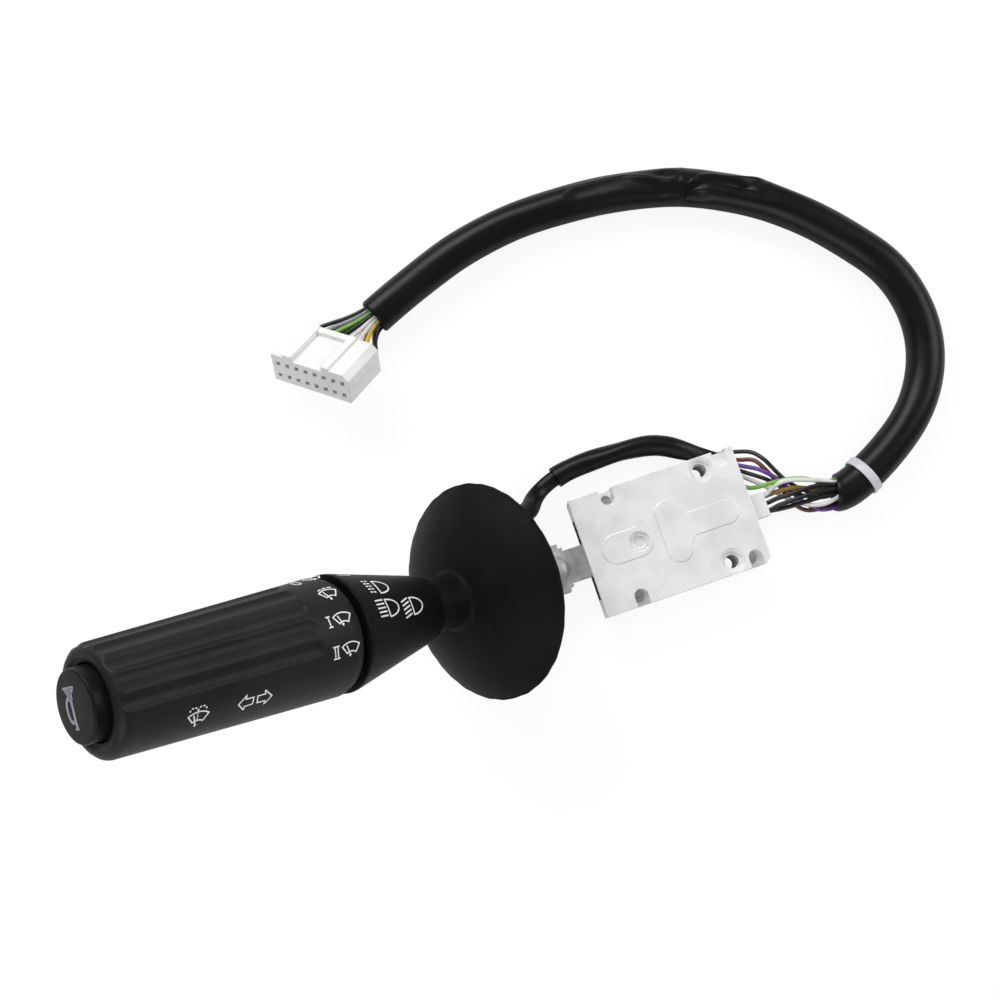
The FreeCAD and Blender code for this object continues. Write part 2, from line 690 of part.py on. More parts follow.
def lever_root():
    """Zinc root: flat tongue with its eye, the flange plate and the socket for the tube."""
    tongue = block(
        "tongue_blank",
        (FLANGE_AT + " - 1","-tongue_wide / 2", "tilt_height - tongue_thick / 2"),
        (TILT_AT, "tongue_wide / 2", "tilt_height + tongue_thick / 2"),
    )
    eye = cylinder("tongue_eye", "eye_radius", "tongue_wide")
    eye.Placement = App.Placement(App.Vector(), App.Rotation(App.Vector(1, 0, 0), -90))
    stood(eye, TILT_AT, "-tongue_wide / 2", "tilt_height")
    flange = block(
        "flange_plate",
        (FLANGE_AT + " - flange_thick","-flange_wide / 2", "tilt_height - flange_drop"),
        (FLANGE_AT, "flange_wide / 2", "tilt_height - flange_drop + flange_high"),
    )
    step = block(
        "flange_step",
        (FLANGE_AT, "-step_wide / 2", "tilt_height - 5"),
        (FLANGE_AT + " + step_thick","step_wide / 2", "tilt_height + 5"),
    )
    socket = turned("socket_blank", [
        ("0", "1"),
        ("5", "1"),
        ("socket_radius", "6.5"),
        ("socket_radius", "socket_end - 0.8"),
        ("socket_radius - 0.8", "socket_end"),
        ("0", "socket_end"),
    ])
    on_lever(socket)
    whole = joined("root_blank", [tongue, eye, flange, step, socket])
    eye_bore = cylinder("eye_bore", "tilt_radius + fit", "tongue_wide + 2")
    eye_bore.Placement = App.Placement(App.Vector(), App.Rotation(App.Vector(1, 0, 0), -90))
    stood(eye_bore, TILT_AT, "-tongue_wide / 2 - 1", "tilt_height")
    tube_bore = turned("socket_bore", [("0", "tube_start"), ("tube_radius + fit", "tube_start"),
                                       ("tube_radius + fit", "socket_end + 1"), ("0", "socket_end + 1")])
    on_lever(tube_bore)
    screw_hole = freeform("screw_hole", screw_shape(value("screw_radius + fit"), 4))
    tools = joined("root_tools", [eye_bore, tube_bore, screw_hole])
    return taken("lever_root", whole, tools)


def screw_shape(radius, reach):
    """A cylinder square to the lever over the tube."""
    start = lever_point(value("screw_station"), value("tube_radius + fit"))
    return Part.makeCylinder(radius, reach, start, lever_point(0, 1) - lever_point(0, 0))


def root_set_screw():
    reach = value("socket_radius - tube_radius") - 0.1
    return freeform("root_set_screw", screw_shape(value("screw_radius"), reach))


def lever_tube():
    body = turned("lever_tube", [("tube_bore", "tube_start"), ("tube_radius", "tube_start"),
                                 ("tube_radius", "tube_end"), ("tube_bore", "tube_end")])
    pocket(body, [("0", "lead_exit", "2.6")], "-10", "0", "XZ_Plane")
    on_lever(body)
    return body


def lead_grommet():
    """Rubber plug in the side of the tube that the lever lead leaves by."""
    side = App.Vector(0, 1, 0)
    core = lever_point(value("lead_exit"))
    plug = Part.makeCylinder(value("lead_radius + 0.6"), value("grommet_face") - 3, core + side * 3, side)
    along = lever_point(1) - lever_point(0)
    tube = Part.makeCylinder(value("tube_radius") + 0.02, 30, lever_point(value("lead_exit") - 15), along)
    return freeform("lead_grommet", plug.cut(tube))


DOME_R = "((shield_radius ^ 2 + shield_rise ^ 2) / (2 * shield_rise))"
DOME_S = "(rim_station + shield_rise - %s)" % DOME_R


def dome_at(radius, skin="0"):
    """Height of the dome surface at a radius, skin deep under the outside."""
    return "%s + sqrt((%s - %s) ^ 2 - (%s) ^ 2)" % (DOME_S, DOME_R, skin, radius)


def dust_shield():
    """Rubber dome with a neck that hugs the tube and butts against the cone."""
    bore = "tube_radius + fit"
    foot = "neck_radius + neck_fillet"
    lip = "shield_radius - 1.6"
    body = turned("dust_shield", [
        (bore, "cone_station"),
        ("neck_radius", "cone_station"),
        ("neck_radius", "%s + neck_fillet" % dome_at(foot), "neck_fillet", 1),
        (foot, dome_at(foot), DOME_R, -1),
        ("shield_radius", dome_at("shield_radius")),
        (lip, dome_at(lip, "shield_skin"), "%s - shield_skin" % DOME_R, 1),
        (bore, dome_at(bore, "shield_skin")),
    ])
    on_lever(body)
    return body


def lever_cone():
    inner = "cone_station + cone_wall + 0.7"
    body = turned("lever_cone", [
        ("tube_radius + fit", "cone_station"),
        ("cone_small - 0.6", "cone_station"),
        ("cone_small", "cone_station + 0.6"),
        ("cone_large", "cone_end - 0.6"),
        ("cone_large - 0.6", "cone_end"),
        ("cone_large - cone_wall", "cone_end"),
        ("cone_small - cone_wall", inner),
        ("tube_radius + fit", inner),
    ])
    on_lever(body)
    return body


BARREL_END = "(cone_end + collar_gap + barrel_long)"
CORE_NECK = "(%s - neck_drop)" % BARREL_END
CORE_END = "(%s - core_drop)" % BARREL_END
SLIDER_END = "(%s - slider_room)" % CORE_NECK


def switch_core():
    """The still carrier inside the barrel, pressed on the tube."""
    shelf = "cone_end - 0.8"
    body = turned("switch_core", [
        ("tube_radius + fit", "core_start"),
        ("9.5", "core_start"),
        ("9.5", "core_flange"),
        ("core_seat", "core_flange"),
        ("core_seat", shelf),
        ("core_radius", shelf),
        ("core_radius", SLIDER_END + " +0.2"),
        ("core_radius - 0.9", SLIDER_END + " +0.2"),
        ("core_radius - 0.9", SLIDER_END + " +1.4"),
        ("core_radius", SLIDER_END + " +1.4"),
        ("core_radius", CORE_NECK),
        ("neck_outer", CORE_NECK),
        ("neck_outer", CORE_END),
        ("core_bore", CORE_END),
        ("core_bore", "tube_end + 0.2"),
        ("tube_radius + fit", "tube_end + 0.2"),
    ])
    way = oblong("core_radius - 1.2", "core_radius + 1", "-1.5", "1.5")
    pocket(body, [way],"slider_start - washer_travel - 1", SLIDER_END + " +5")
    on_lever(body)
    return body


def lever_ring(label, inner, outer, low, high):
    """A plain ring about the lever axis."""
    body = turned(label, [(inner, low), (outer, low), (outer, high), (inner, high)])
    on_lever(body)
    return body


def lever_bar(label, low, high, bottom, top):
    """A small block beside the lever axis, in its frame."""
    body = new_body(label)
    pad(body, [oblong(low[0], high[0], low[1], high[1])], bottom, top)
    on_lever(body)
    return body


def lever_coil(label, low, high, radius, wire, turns, off=0.0):
    """A coil spring along the lever between two stations, off its axis if asked."""
    start = lever_point(low, off)
    return coil(label, start, lever_point(1) - lever_point(0), high - low, radius, wire, turns)


# the circlip stays inside the path of the detent ball
CIRCLIP_OUT = "ball_orbit - ball_radius - running"


def lever_pieces():
    """What the lever carries besides its root, tube, shield, cone and core."""
    shelf = "cone_end - 0.8"
    spring_low, spring_high = value(shelf) + 0.1, value("slider_start") - 0.1
    plate_top = CORE_NECK + " +3.5"
    return [
        lever_coil("washer_spring", spring_low, spring_high, 13.0, 0.4, 3),
        lever_bar("washer_contact_leaf", ("14.2", "-2"), ("14.9", "2"), shelf, "%s + 2.6" % shelf),
        lever_ring("core_circlip", "core_radius - 0.8", CIRCLIP_OUT, SLIDER_END + " +0.3", SLIDER_END + " +1.3"),
        lever_ring("horn_contact_plate", "1.0", "core_bore", CORE_NECK + " +2", plate_top),
        lever_coil("horn_spring", value(plate_top) + 0.1, value(BUTTON_UNDER) - 0.1, 4.2, 0.45, 5),
    ]


BUTTON_FACE = "(%s + button_proud)" % BARREL_END
BUTTON_UNDER = "(%s - 3.2)" % BUTTON_FACE


def horn_button():
    """Cap with a skirt that slides on the neck of the core, held in by its flange."""
    skirt = "neck_outer + 0.2"
    flange = "%s - 6" % BARREL_END
    body = turned("horn_button", [
        ("0", BUTTON_UNDER),
        (skirt, BUTTON_UNDER),
        (skirt, CORE_NECK + " +horn_travel + 2"),
        ("button_radius - 0.5", CORE_NECK + " +horn_travel + 2"),
        ("button_radius - 0.5", flange),
        ("button_radius + 1.5", flange),
        ("button_radius + 1.5", "%s + 1.9" % flange),
        ("button_radius", "%s + 1.9" % flange),
        ("button_radius - 0.25", "%s - 0.7" % BUTTON_FACE, "0.75", 1),
        ("button_radius - 0.85", BUTTON_FACE),
        ("0", BUTTON_FACE),
    ])
    on_lever(body)
    return body


def horn_contact_pin():
    low = CORE_NECK + " +3.5 + horn_travel + washer_travel + 0.3"
    body = turned("horn_contact_pin", [("0", low), ("1.3", low), ("1.3", BUTTON_UNDER), ("0", BUTTON_UNDER)])
    on_lever(body)
    return body


# Washer slider and wiper barrel
def washer_slider():
    """Keyed bush that slides on the core and carries the turning barrel."""
    inner = "core_radius + running"
    body = turned("washer_slider", [(inner, "slider_start"), ("barrel_bore - running", "slider_start"),
                                    ("barrel_bore - running", SLIDER_END), (inner, SLIDER_END)])
    key = oblong("core_radius - 1", "core_radius + 0.6", "-1.4", "1.4")
    pad(body, [key], "slider_start", SLIDER_END)
    pocket(body, [("-ball_orbit", "0", "ball_radius + fit")], SLIDER_END + " -9", SLIDER_END + " +1")
    on_lever(body)
    return body


def slider_pieces():
    ball = doc.addObject("Part::Sphere", "wiper_detent_ball")
    ball.Label = "wiper_detent_ball"
    tie(ball, "Radius", "ball_radius")
    spot = lever_point(value(SLIDER_END) + 1.0,-value("ball_orbit"))
    ball.Placement = App.Placement(spot, App.Rotation())
    spring_low, spring_high = value(SLIDER_END) - 8.9, value(SLIDER_END + " +1 - ball_radius")
    return [
        ball,
        lever_coil("wiper_detent_spring", spring_low, spring_high - 0.05, 1.1, 0.25, 4, -value("ball_orbit")),
        lever_bar("wiper_contact_brush", ("12.2", "-1.5"), ("14.8", "1.5"), SLIDER_END,SLIDER_END + " +1.6"),
    ]


COLLAR = "(cone_end + collar_gap)"
SIDE_LOW = "(%s + collar_slope)" % COLLAR
SIDE_HIGH = "(%s - tip_round)" % BARREL_END


def side_radius(station):
    """Radius of the slightly tapered side of the barrel."""
    slope = "(collar_radius - tip_radius) / (%s - %s)" % (SIDE_HIGH, SIDE_LOW)
    return "collar_radius - (%s - %s) * %s" % (station, SIDE_LOW, slope)


def wiper_barrel():
    """The fluted sleeve: a revolved shell with scooped flutes over most of its side."""
    web = "%s - 3.5" % BARREL_END
    hole = "button_radius + 0.4"
    body = turned("wiper_barrel", [
        ("barrel_bore", COLLAR),
        ("collar_radius - 1.3", COLLAR),
        ("collar_radius", SIDE_LOW),
        ("tip_radius", SIDE_HIGH, "tip_round", 1),
        ("tip_radius - tip_round", BARREL_END),
        ("%s + 1.4" % hole, BARREL_END),
        ("%s + 0.8" % hole, "%s - 0.8" % BARREL_END),
        (hole, "%s - 0.8" % BARREL_END),
        (hole, web),
        ("barrel_bore", web),
        ("barrel_bore", "%s + 4.7" % COLLAR),
        ("barrel_bore + 1", "%s + 4.7" % COLLAR),
        ("barrel_bore + 1", "%s + 3.3" % COLLAR),
        ("barrel_bore", "%s + 3.3" % COLLAR),
    ])
    before = volume_of(body)
    sketch = new_sketch(body, "XZ_Plane")
    sketch.AttachmentOffset = App.Placement(App.Vector(), App.Rotation(App.Vector(0, 1, 0), 1))
    tie(sketch, "AttachmentOffset.Rotation.Angle", "flute_first")
    low = "(%s + flute_start)" % COLLAR
    high = "(%s + 6)" % BARREL_END
    out = "flute_cutter - flute_deep"
    bend = "(%s + flute_cutter)" % low
    outline(sketch, [
        ("%s + %s" % (side_radius(low), out), low),
        ("%s + %s" % (side_radius(high), out), high),
        ("%s - flute_deep" % side_radius(high), high),
        ("%s - flute_deep" % side_radius(bend), bend, "flute_cutter", 1),
    ])
    axis = Part.LineSegment(sketch.Geometry[0].StartPoint, sketch.Geometry[0].EndPoint)
    line = sketch.addGeometry(axis, True)
    sketch.addConstraint(Sketcher.Constraint("Coincident", line, 1, 0, 1))
    sketch.addConstraint(Sketcher.Constraint("Coincident", line, 2, 0, 2))
    flute = body.newObject("PartDesign::Groove", "flute")
    flute.Profile = sketch
    flute.ReferenceAxis = (sketch, ["Axis0"])
    flute.Angle = 360
    body.Tip = flute
    one = volume_of(body)
    if not one < before:
        raise RuntimeError("the flute cut nothing")
    ring_of = body.newObject("PartDesign::PolarPattern", "flutes")
    ring_of.Originals = [flute]
    ring_of.Axis = (plane_of(body, "Z_Axis"), [""])
    tie(ring_of, "Angle", "flute_pitch * (flute_count - 1)")
    tie(ring_of, "Occurrences", "flute_count")
    body.Tip = ring_of
    if not volume_of(body) < one:
        raise RuntimeError("the flutes were not repeated")
    on_lever(body)
    return body


def barrel_pieces():
    low, high = "%s + 3.3 + running" % COLLAR, "%s + 4.6" % COLLAR
    return [
        lever_ring("barrel_retaining_ring", "13.9", "barrel_bore + 0.9", low, high),
        lever_ring("wiper_detent_ring", "core_radius + 0.5", "barrel_bore", SLIDER_END + " +3", SLIDER_END + " +8"),
    ]


# Cords: points chosen by hand along the centre line
LOOM_ROUTE = [
    (51.8, -7.5, 8.0), (72.5, 1.6, 8.0), (90.9, 14.9, 8.0), (101.8, 32.1, 8.0), (105.2, 52.1, 8.0),
    (100.6, 72.0, 8.0), (88.9, 88.3, 8.0), (74.5, 104.5, 8.0), (57.5, 118.0, 8.0), (36.0, 129.5, 8.0),
    (10.0, 136.3, 8.0), (-18.0, 139.0, 8.0), (-45.0, 138.0, 8.0), (-73.5, 130.8, 8.0), (-100.2, 119.3, 8.0),
]
LEAD_ROUTE = [
    (-83.9, 8.5, 30.5), (-83.4, 19.0, 30.0), (-76.5, 25.0, 21.0), (-67.5, 24.5, 11.5), (-62.3, 31.5, 6.0),
    (-51.2, 36.2, 4.5), (-37.7, 37.4, 4.3), (-23.2, 37.0, 4.3), (-10.2, 35.3, 4.3), (0.6, 28.2, 4.3),
]
LEAD_WIRES_ROUTE = [
    (0.6, 28.2, 2.3), (8.2, 23.2, 2.3), (14.8, 18.9, 2.3), (23.5, 11.8, 3.6), (32.0, 2.6, 6.4),
    (42.6, -6.75, 8.0), (50.0, -3.5, 8.0),
]
HOLDER_WIRES_ROUTE = [
    (22.0, -1.5, 8.15), (29.0, -2.6, 8.1), (37.2, -8.3, 8.0), (45.2, -13.2, 8.0), (52.8, -9.9, 8.0),
]


def path_of(points, label):
    """Straight runs joined by tangent arcs; prints the radii."""
    spots = [App.Vector(*p) for p in points]
    edges = []
    radii = []
    start = spots[0]
    for before, here, after in zip(spots, spots[1:], spots[2:]):
        back, ahead = (before - here), (after - here)
        turn = math.pi - back.getAngle(ahead)
        reach = 0.45 * min(back.Length, ahead.Length)
        radii.append(reach / math.tan(turn / 2))
        back.normalize()
        ahead.normalize()
        first, last = here + back * reach, here + ahead * reach
        inward = (back + ahead).normalize()
        middle = here + inward * (radii[-1] / math.cos(turn / 2) - radii[-1])
        edges.append(Part.LineSegment(start, first).toShape())
        edges.append(Part.Arc(first, middle, last).toShape())
        start = last
    edges.append(Part.LineSegment(start, spots[-1]).toShape())
    print(label, "radii", " ".join("%.1f" % r for r in radii))
    return Part.Wire(edges)


def cord(label, points, radius):
    """A plain tube along a route, checked by its volume."""
    path = path_of(points, label)
    ahead = App.Vector(*points[1]) - App.Vector(*points[0])
    section = Part.Wire([Part.Circle(App.Vector(*points[0]), ahead, radius).toShape()])
    shape = path.makePipeShell([section], True, False)
    expected = math.pi * radius ** 2 * path.Length
    if abs(shape.Volume - expected) > 0.01 * expected:
        raise RuntimeError("%s has the wrong volume" % label)
    return freeform(label, shape)


def tie_ring():
    """The grey band round the sleeve, half way along its first run."""
    start, ahead = App.Vector(*LOOM_ROUTE[0]), App.Vector(*LOOM_ROUTE[1]) - App.Vector(*LOOM_ROUTE[0])
    ahead.normalize()
    base = start + ahead * 9.0
    outer = Part.makeCylinder(value("loom_radius + tie_thick"), value("tie_wide"), base, ahead)
    inner = Part.makeCylinder(value("loom_radius + running"), value("tie_wide") + 2, base - ahead, ahead)
    return freeform("tie_ring", outer.cut(inner))


# Connector, drawn about its own middle: X across, Y towards the mating face, Z up
def plug_placement():
    spot = App.Vector(value("plug_x"), value("plug_y"), value("plug_z"))
    return App.Placement(spot, App.Rotation(value("plug_yaw"), value("plug_dip"), value("plug_roll")))


def cavity_spots():
    """Middles of the sixteen cavities as formulas, upper row first."""
    return [("(%g) * plug_step" % (3.5 - k), row) for row in ("row_high", "row_low") for k in range(8)]


def square(x, z, half):
    return oblong("%s - %s" % (x, half), "%s + %s" % (x, half), "%s - %s" % (z, half), "%s + %s" % (z, half))


BLIND = 14


def connector_housing():
    body = new_body("connector_housing")
    half, top = "plug_wide / 2", "plug_high / 2"
    face = [
        ("-(%s)" % half, "-(%s)" % top),
        (half, "-(%s)" % top),
        (half, "%s - 1.3" % top),
        ("12.4", "%s - 1.3" % top),
        ("12.4", top),
        ("8.4", top),
        ("8.4", "%s - 2.3" % top),
        ("-5.6", "%s - 2.3" % top),
        ("-5.6", top),
        ("-8.6", top),
        ("-8.6", "%s - 1" % top),
        ("-15.2", "%s - 1" % top),
        ("-(%s)" % half, "%s - 3.5" % top),
    ]
    low, high = "-plug_deep / 2", "plug_deep / 2"
    pad(body, [face], low, high, "XZ_Plane")
    back_bar = oblong("-5.6", "8.4", "%s - 2.4" % top, "%s - 0.4" % top)
    pad(body, [back_bar], "%s - 3" % high, high, "XZ_Plane")
    cavities = [square(x, z, "cavity_half") for x, z in cavity_spots()]
    pocket(body, cavities, "%s - 1" % low, "%s + 1" % high, "XZ_Plane")
    slot = oblong("-4", "6", "lock_level - 0.6", "lock_level + 0.6")
    pocket(body, [slot], "-(%s) - 1" % half, "%s - 4" % half, "YZ_Plane")
    body.Placement = plug_placement()
    return body


def connector_terminals():
    """Fifteen crimped terminals; the sixteenth cavity is blanked."""
    pieces = []
    for number, (x, z) in enumerate(cavity_spots()):
        if number != BLIND:
            low = ("%s - cavity_half + fit" % x, "-plug_deep / 2 + 1.2", "%s - cavity_half + fit" % z)
            high = ("%s + cavity_half - fit" % x, "plug_deep / 2 - 2.5", "%s + cavity_half - fit" % z)
            pieces.append(block("terminal_%d" % (number + 1), low, high))
    group = group_of("connector_terminals", pieces)
    group.Placement = plug_placement()
    return group


def plug_box(label, low, high):
    piece = group_of(label, [block(label + "_blank", low, high)])
    piece.Placement = plug_placement()
    return piece


def connector_lock():
    return plug_box("connector_lock", ("-plug_wide / 2", "-4 + fit", "lock_level - 0.6 + fit"),
                    ("plug_wide / 2 - 4.2", "6 - fit", "lock_level + 0.6 - fit"))


def cavity_plug():
    x, z = cavity_spots()[BLIND]
    low = ("%s - cavity_half + fit" % x, "plug_deep / 2 - 5", "%s - cavity_half + fit" % z)
    high = ("%s + cavity_half - fit" % x, "plug_deep / 2 - 0.3", "%s + cavity_half - fit" % z)
    return plug_box("cavity_plug", low, high)


def connector_wires():
    """The bundle from the end of the sleeve into the back of the connector."""
    start = App.Vector(*LOOM_ROUTE[-1])
    ahead = (start - App.Vector(*LOOM_ROUTE[-2])).normalize()
    corner = start + ahead * 11.5
    into = plug_placement().Rotation.multVec(App.Vector(0, 1, 0))
    back = plug_placement().multVec(App.Vector(0, -value("plug_deep") / 2, 0))
    end = corner + into * (back - corner).dot(into)
    return cord("connector_wires", [tuple(start), tuple(corner), tuple(end)], value("bundle_radius"))


def all_pieces():
    """Every node of the part, in the order that it is put together."""
    pieces = [die_cast_housing(), contact_base(), base_rivets(), turn_pivot_pin()]
    pieces += [turn_contact_strips(), turn_detent_track(), wire_holder(), turn_rotor(), tilt_pin()]
    pieces += [turn_detent_plunger(), turn_detent_spring(), turn_contact_bridge(), lever_root()]
    pieces += [root_set_screw(), lever_tube(), lead_grommet(), dust_shield(), lever_cone(), switch_core()]
    pieces += lever_pieces()
    pieces += [horn_button(), horn_contact_pin(), washer_slider()]
    pieces += slider_pieces()
    pieces += [wiper_barrel()]
    pieces += barrel_pieces()
    pieces += [
        cord("loom_sleeve", LOOM_ROUTE, value("loom_radius")),
        cord("lever_lead_sleeve", LEAD_ROUTE, value("lead_radius")),
        cord("lead_wires", LEAD_WIRES_ROUTE, value("lead_wires_radius")),
        cord("holder_wires", HOLDER_WIRES_ROUTE, value("holder_wires_radius")),
        tie_ring(),
    ]
    pieces += [connector_housing(), connector_terminals(), connector_lock(), cavity_plug(), connector_wires()]
    return pieces


def check_state():
    """Every object must be up to date and without an error."""
    doc.recompute()
    for item in doc.Objects:
        for state in item.State:
            if state in ("Invalid", "Error"):
                raise RuntimeError("%s is %s" % (item.Label, state))


def write_parts(pieces):
    """Write each piece to its own file once its shape is sound."""
    os.makedirs("parts", exist_ok=True)
    for piece in pieces:
        if piece.Shape.isNull() or not piece.Shape.isValid():
            raise RuntimeError("%s has no sound shape" % piece.Label)
        piece.Shape.exportStep("parts/%s.step" % piece.Label)
        print("%-24s solids %2d volume %10.1f" % (piece.Label, len(piece.Shape.Solids), piece.Shape.Volume))


made = all_pieces()
check_state()
write_parts(made)
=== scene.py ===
"""Combination stalk switch: the looks of each piece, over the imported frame."""
import math

import bpy
import numpy as np
from mathutils import Matrix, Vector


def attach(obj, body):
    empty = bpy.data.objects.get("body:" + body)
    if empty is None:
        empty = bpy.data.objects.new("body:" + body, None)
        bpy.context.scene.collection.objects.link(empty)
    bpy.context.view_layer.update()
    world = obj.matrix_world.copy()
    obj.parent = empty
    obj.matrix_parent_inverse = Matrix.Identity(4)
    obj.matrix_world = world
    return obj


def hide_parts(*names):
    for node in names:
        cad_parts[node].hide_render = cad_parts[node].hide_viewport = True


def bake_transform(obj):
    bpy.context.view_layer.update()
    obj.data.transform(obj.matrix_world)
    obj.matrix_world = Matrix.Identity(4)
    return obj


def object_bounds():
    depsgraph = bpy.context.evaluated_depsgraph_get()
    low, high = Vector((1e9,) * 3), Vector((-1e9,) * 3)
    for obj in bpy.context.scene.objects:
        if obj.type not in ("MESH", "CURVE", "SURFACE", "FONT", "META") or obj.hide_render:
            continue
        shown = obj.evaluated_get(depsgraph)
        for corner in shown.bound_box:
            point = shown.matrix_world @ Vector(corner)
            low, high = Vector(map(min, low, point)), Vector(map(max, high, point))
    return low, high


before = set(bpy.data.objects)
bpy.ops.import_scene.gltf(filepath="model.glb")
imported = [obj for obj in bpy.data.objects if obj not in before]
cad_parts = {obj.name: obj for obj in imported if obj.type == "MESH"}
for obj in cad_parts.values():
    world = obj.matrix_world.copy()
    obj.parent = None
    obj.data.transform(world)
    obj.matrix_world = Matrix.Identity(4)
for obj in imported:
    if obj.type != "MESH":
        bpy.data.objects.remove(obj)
cad_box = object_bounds()

# Sizes are in millimetres here and become metres in the meshes.
MM = 0.001
FULL_TURN = 2 * math.pi
RISE = math.radians(43.2)
ALONG = np.array([-math.cos(RISE), 0.0, math.sin(RISE)])
UPWARD = np.array([math.sin(RISE), 0.0, math.cos(RISE)])
ACROSS = np.array([0.0, 1.0, 0.0])
KINK = np.array([-62.0, 0.0, 10.0])


# Meshes


def in_scene(name, data):
    """A new object with this data, linked to the scene."""
    obj = bpy.data.objects.new(name, data)
    bpy.context.scene.collection.objects.link(obj)
    return obj


def circle(columns):
    """The angles of one full turn in even steps, without the last one."""
    return np.linspace(0, FULL_TURN, columns, endpoint=False)


def wrapped(angle):
    """The same angle, between minus and plus half a turn."""
    return (angle + math.pi) % FULL_TURN - math.pi


def turned(about_z, about_y, about_x):
    """Axes turned about Z, then about their own Y, then about their own X, in degrees, as columns."""
    steps = ((about_z, "Z"), (about_y, "Y"), (about_x, "X"))
    turns = [Matrix.Rotation(math.radians(degrees), 3, axis) for degrees, axis in steps]
    return np.array(turns[0] @ turns[1] @ turns[2])


def on_lever(station, radius, angle):
    """Points of the lever: KINK + station along it + radius (cos angle up + sin angle across)."""
    station, radius, angle = np.broadcast_arrays(station, radius, angle)
    around = np.cos(angle)[..., None] * UPWARD + np.sin(angle)[..., None] * ACROSS
    return KINK + station[..., None] * ALONG + radius[..., None] * around


def grid_faces(rows, columns, loop_rows):
    """Quads between neighbouring rows and looped columns of a grid, as rows of four point numbers."""
    i = np.arange(rows if loop_rows else rows - 1)[:, None]
    j = np.arange(columns)[None, :]
    a, b = i * columns + j, i * columns + (j + 1) % columns
    c, d = (i + 1) % rows * columns + (j + 1) % columns, (i + 1) % rows * columns + j
    return np.stack(np.broadcast_arrays(a, b, c, d), axis=-1).reshape(-1, 4)


def outward(points, quads):
    """True if the volume under the quads, a sum of a . (b x c) over their triangles, is positive."""
    p = points - points.mean(axis=0)
    a, b, c, d = (p[quads[:, k]] for k in range(4))
    return float((a * np.cross(b, c)).sum() + (a * np.cross(c, d)).sum()) > 0


def piece(name, points, quads, made, body, *, replaces, caps=(), sharp=38.0):
    """One object from points in millimetres, quads and flat end caps; it rides on a body."""
    if not outward(points, quads):
        quads = quads[:, ::-1]
        caps = [cap[::-1] for cap in caps]
    mesh = bpy.data.meshes.new(name)
    mesh.from_pydata((points * MM).tolist(), [], quads.tolist() + [list(cap) for cap in caps])
    mesh.polygons.foreach_set("use_smooth", [True] * len(mesh.polygons))
    mesh.set_sharp_from_angle(angle=math.radians(sharp))
    mesh.materials.append(made)
    obj = in_scene(name, mesh)
    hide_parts(*replaces)
    if body:
        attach(obj, body)
    return obj


def soften(corners, reach, steps, closed=True):
    """Each corner becomes the parabola (1-t)^2 a + 2t(1-t) p + t^2 b between points near it on its sides."""
    p = np.array(corners, float)
    before, after = np.roll(p, 1, axis=0) - p, np.roll(p, -1, axis=0) - p
    length = [np.linalg.norm(v, axis=1, keepdims=True) for v in (before, after)]
    near = [np.minimum(np.broadcast_to(reach, len(p))[:, None], 0.45 * n) for n in length]
    a, b = (p + v / n * k for v, n, k in zip((before, after), length, near))
    t = np.linspace(0, 1, steps)[None, :, None]
    bends = (1 - t) ** 2 * a[:, None] + 2 * t * (1 - t) * p[:, None] + t**2 * b[:, None]
    if not closed:
        bends[0], bends[-1] = p[0], p[-1]
    return bends.reshape(-1, 2)


def lathe(name, profile, made, body, columns=160, shape=None, **rest):
    """A closed profile of (radius, station) turned about the lever; shape may move its points."""
    angle = circle(columns)
    radius, station = (profile[:, k][:, None] for k in (0, 1))
    radius, station = np.broadcast_arrays(radius, station, angle[None])[:2]
    if shape:
        radius, station = shape(radius, station, angle[None])
    points = on_lever(station, radius, angle[None]).reshape(-1, 3)
    return piece(name, points, grid_faces(len(profile), columns, True), made, body, **rest)


# Cords

# points in from each end of a sleeve at which its inner wall has its rings
MOUTH_RINGS = np.array([1, 2, 4, 7, 10, 14])
# share of the wall by which the end itself turns in
LIP = 0.4


def curve_of(name, points, radius=0.0):
    """A NURBS curve of order 3 through its end points, with the route as control points."""
    curve = bpy.data.curves.new(name, "CURVE")
    curve.dimensions = "3D"
    spline = curve.splines.new("NURBS")
    spline.points.add(len(points) - 1)
    for spot, at in zip(spline.points, points):
        spot.co = (at[0] * MM, at[1] * MM, at[2] * MM, 1.0)
    spline.order_u = 3
    spline.use_endpoint_u = True
    spline.resolution_u = 24
    curve.bevel_depth = radius * MM
    curve.bevel_resolution = 5
    curve.use_fill_caps = radius > 0
    return curve


def line_of(points):
    """The points along a route's NURBS spline, in millimetres."""
    curve = curve_of("route", points)
    bare = bpy.data.objects.new("route", curve)
    mesh = bpy.data.meshes.new_from_object(bare)
    line = np.array([v.co for v in mesh.vertices]) / MM
    bpy.data.meshes.remove(mesh)
    bpy.data.objects.remove(bare)
    bpy.data.curves.remove(curve)
    return line


def steps_of(line):
    """The distances between neighbouring points of a line."""
    return np.linalg.norm(np.diff(line, axis=0), axis=1)


def length_of(line):
    """The sum of a line's steps."""
    return float(steps_of(line).sum())


def stations_of(line):
    """The distance of each point from the line's start, along the line."""
    return np.concatenate([[0], np.cumsum(steps_of(line))])


def even(line, step):
    """The same line with points a step apart, and their stations."""
    along = stations_of(line)
    at = np.linspace(0, along[-1], int(along[-1] / step) + 1)
    return np.stack([np.interp(at, along, line[:, k]) for k in range(3)], axis=1), at


def frames_of(line):
    """Tangent, side = tangent x Z, and lift = side x tangent along a line."""
    tangent = np.gradient(line, axis=0)
    tangent /= np.linalg.norm(tangent, axis=1, keepdims=True)
    side = np.cross(tangent, [0.0, 0.0, 1.0])
    side /= np.linalg.norm(side, axis=1, keepdims=True)
    return tangent, side, np.cross(side, tangent)


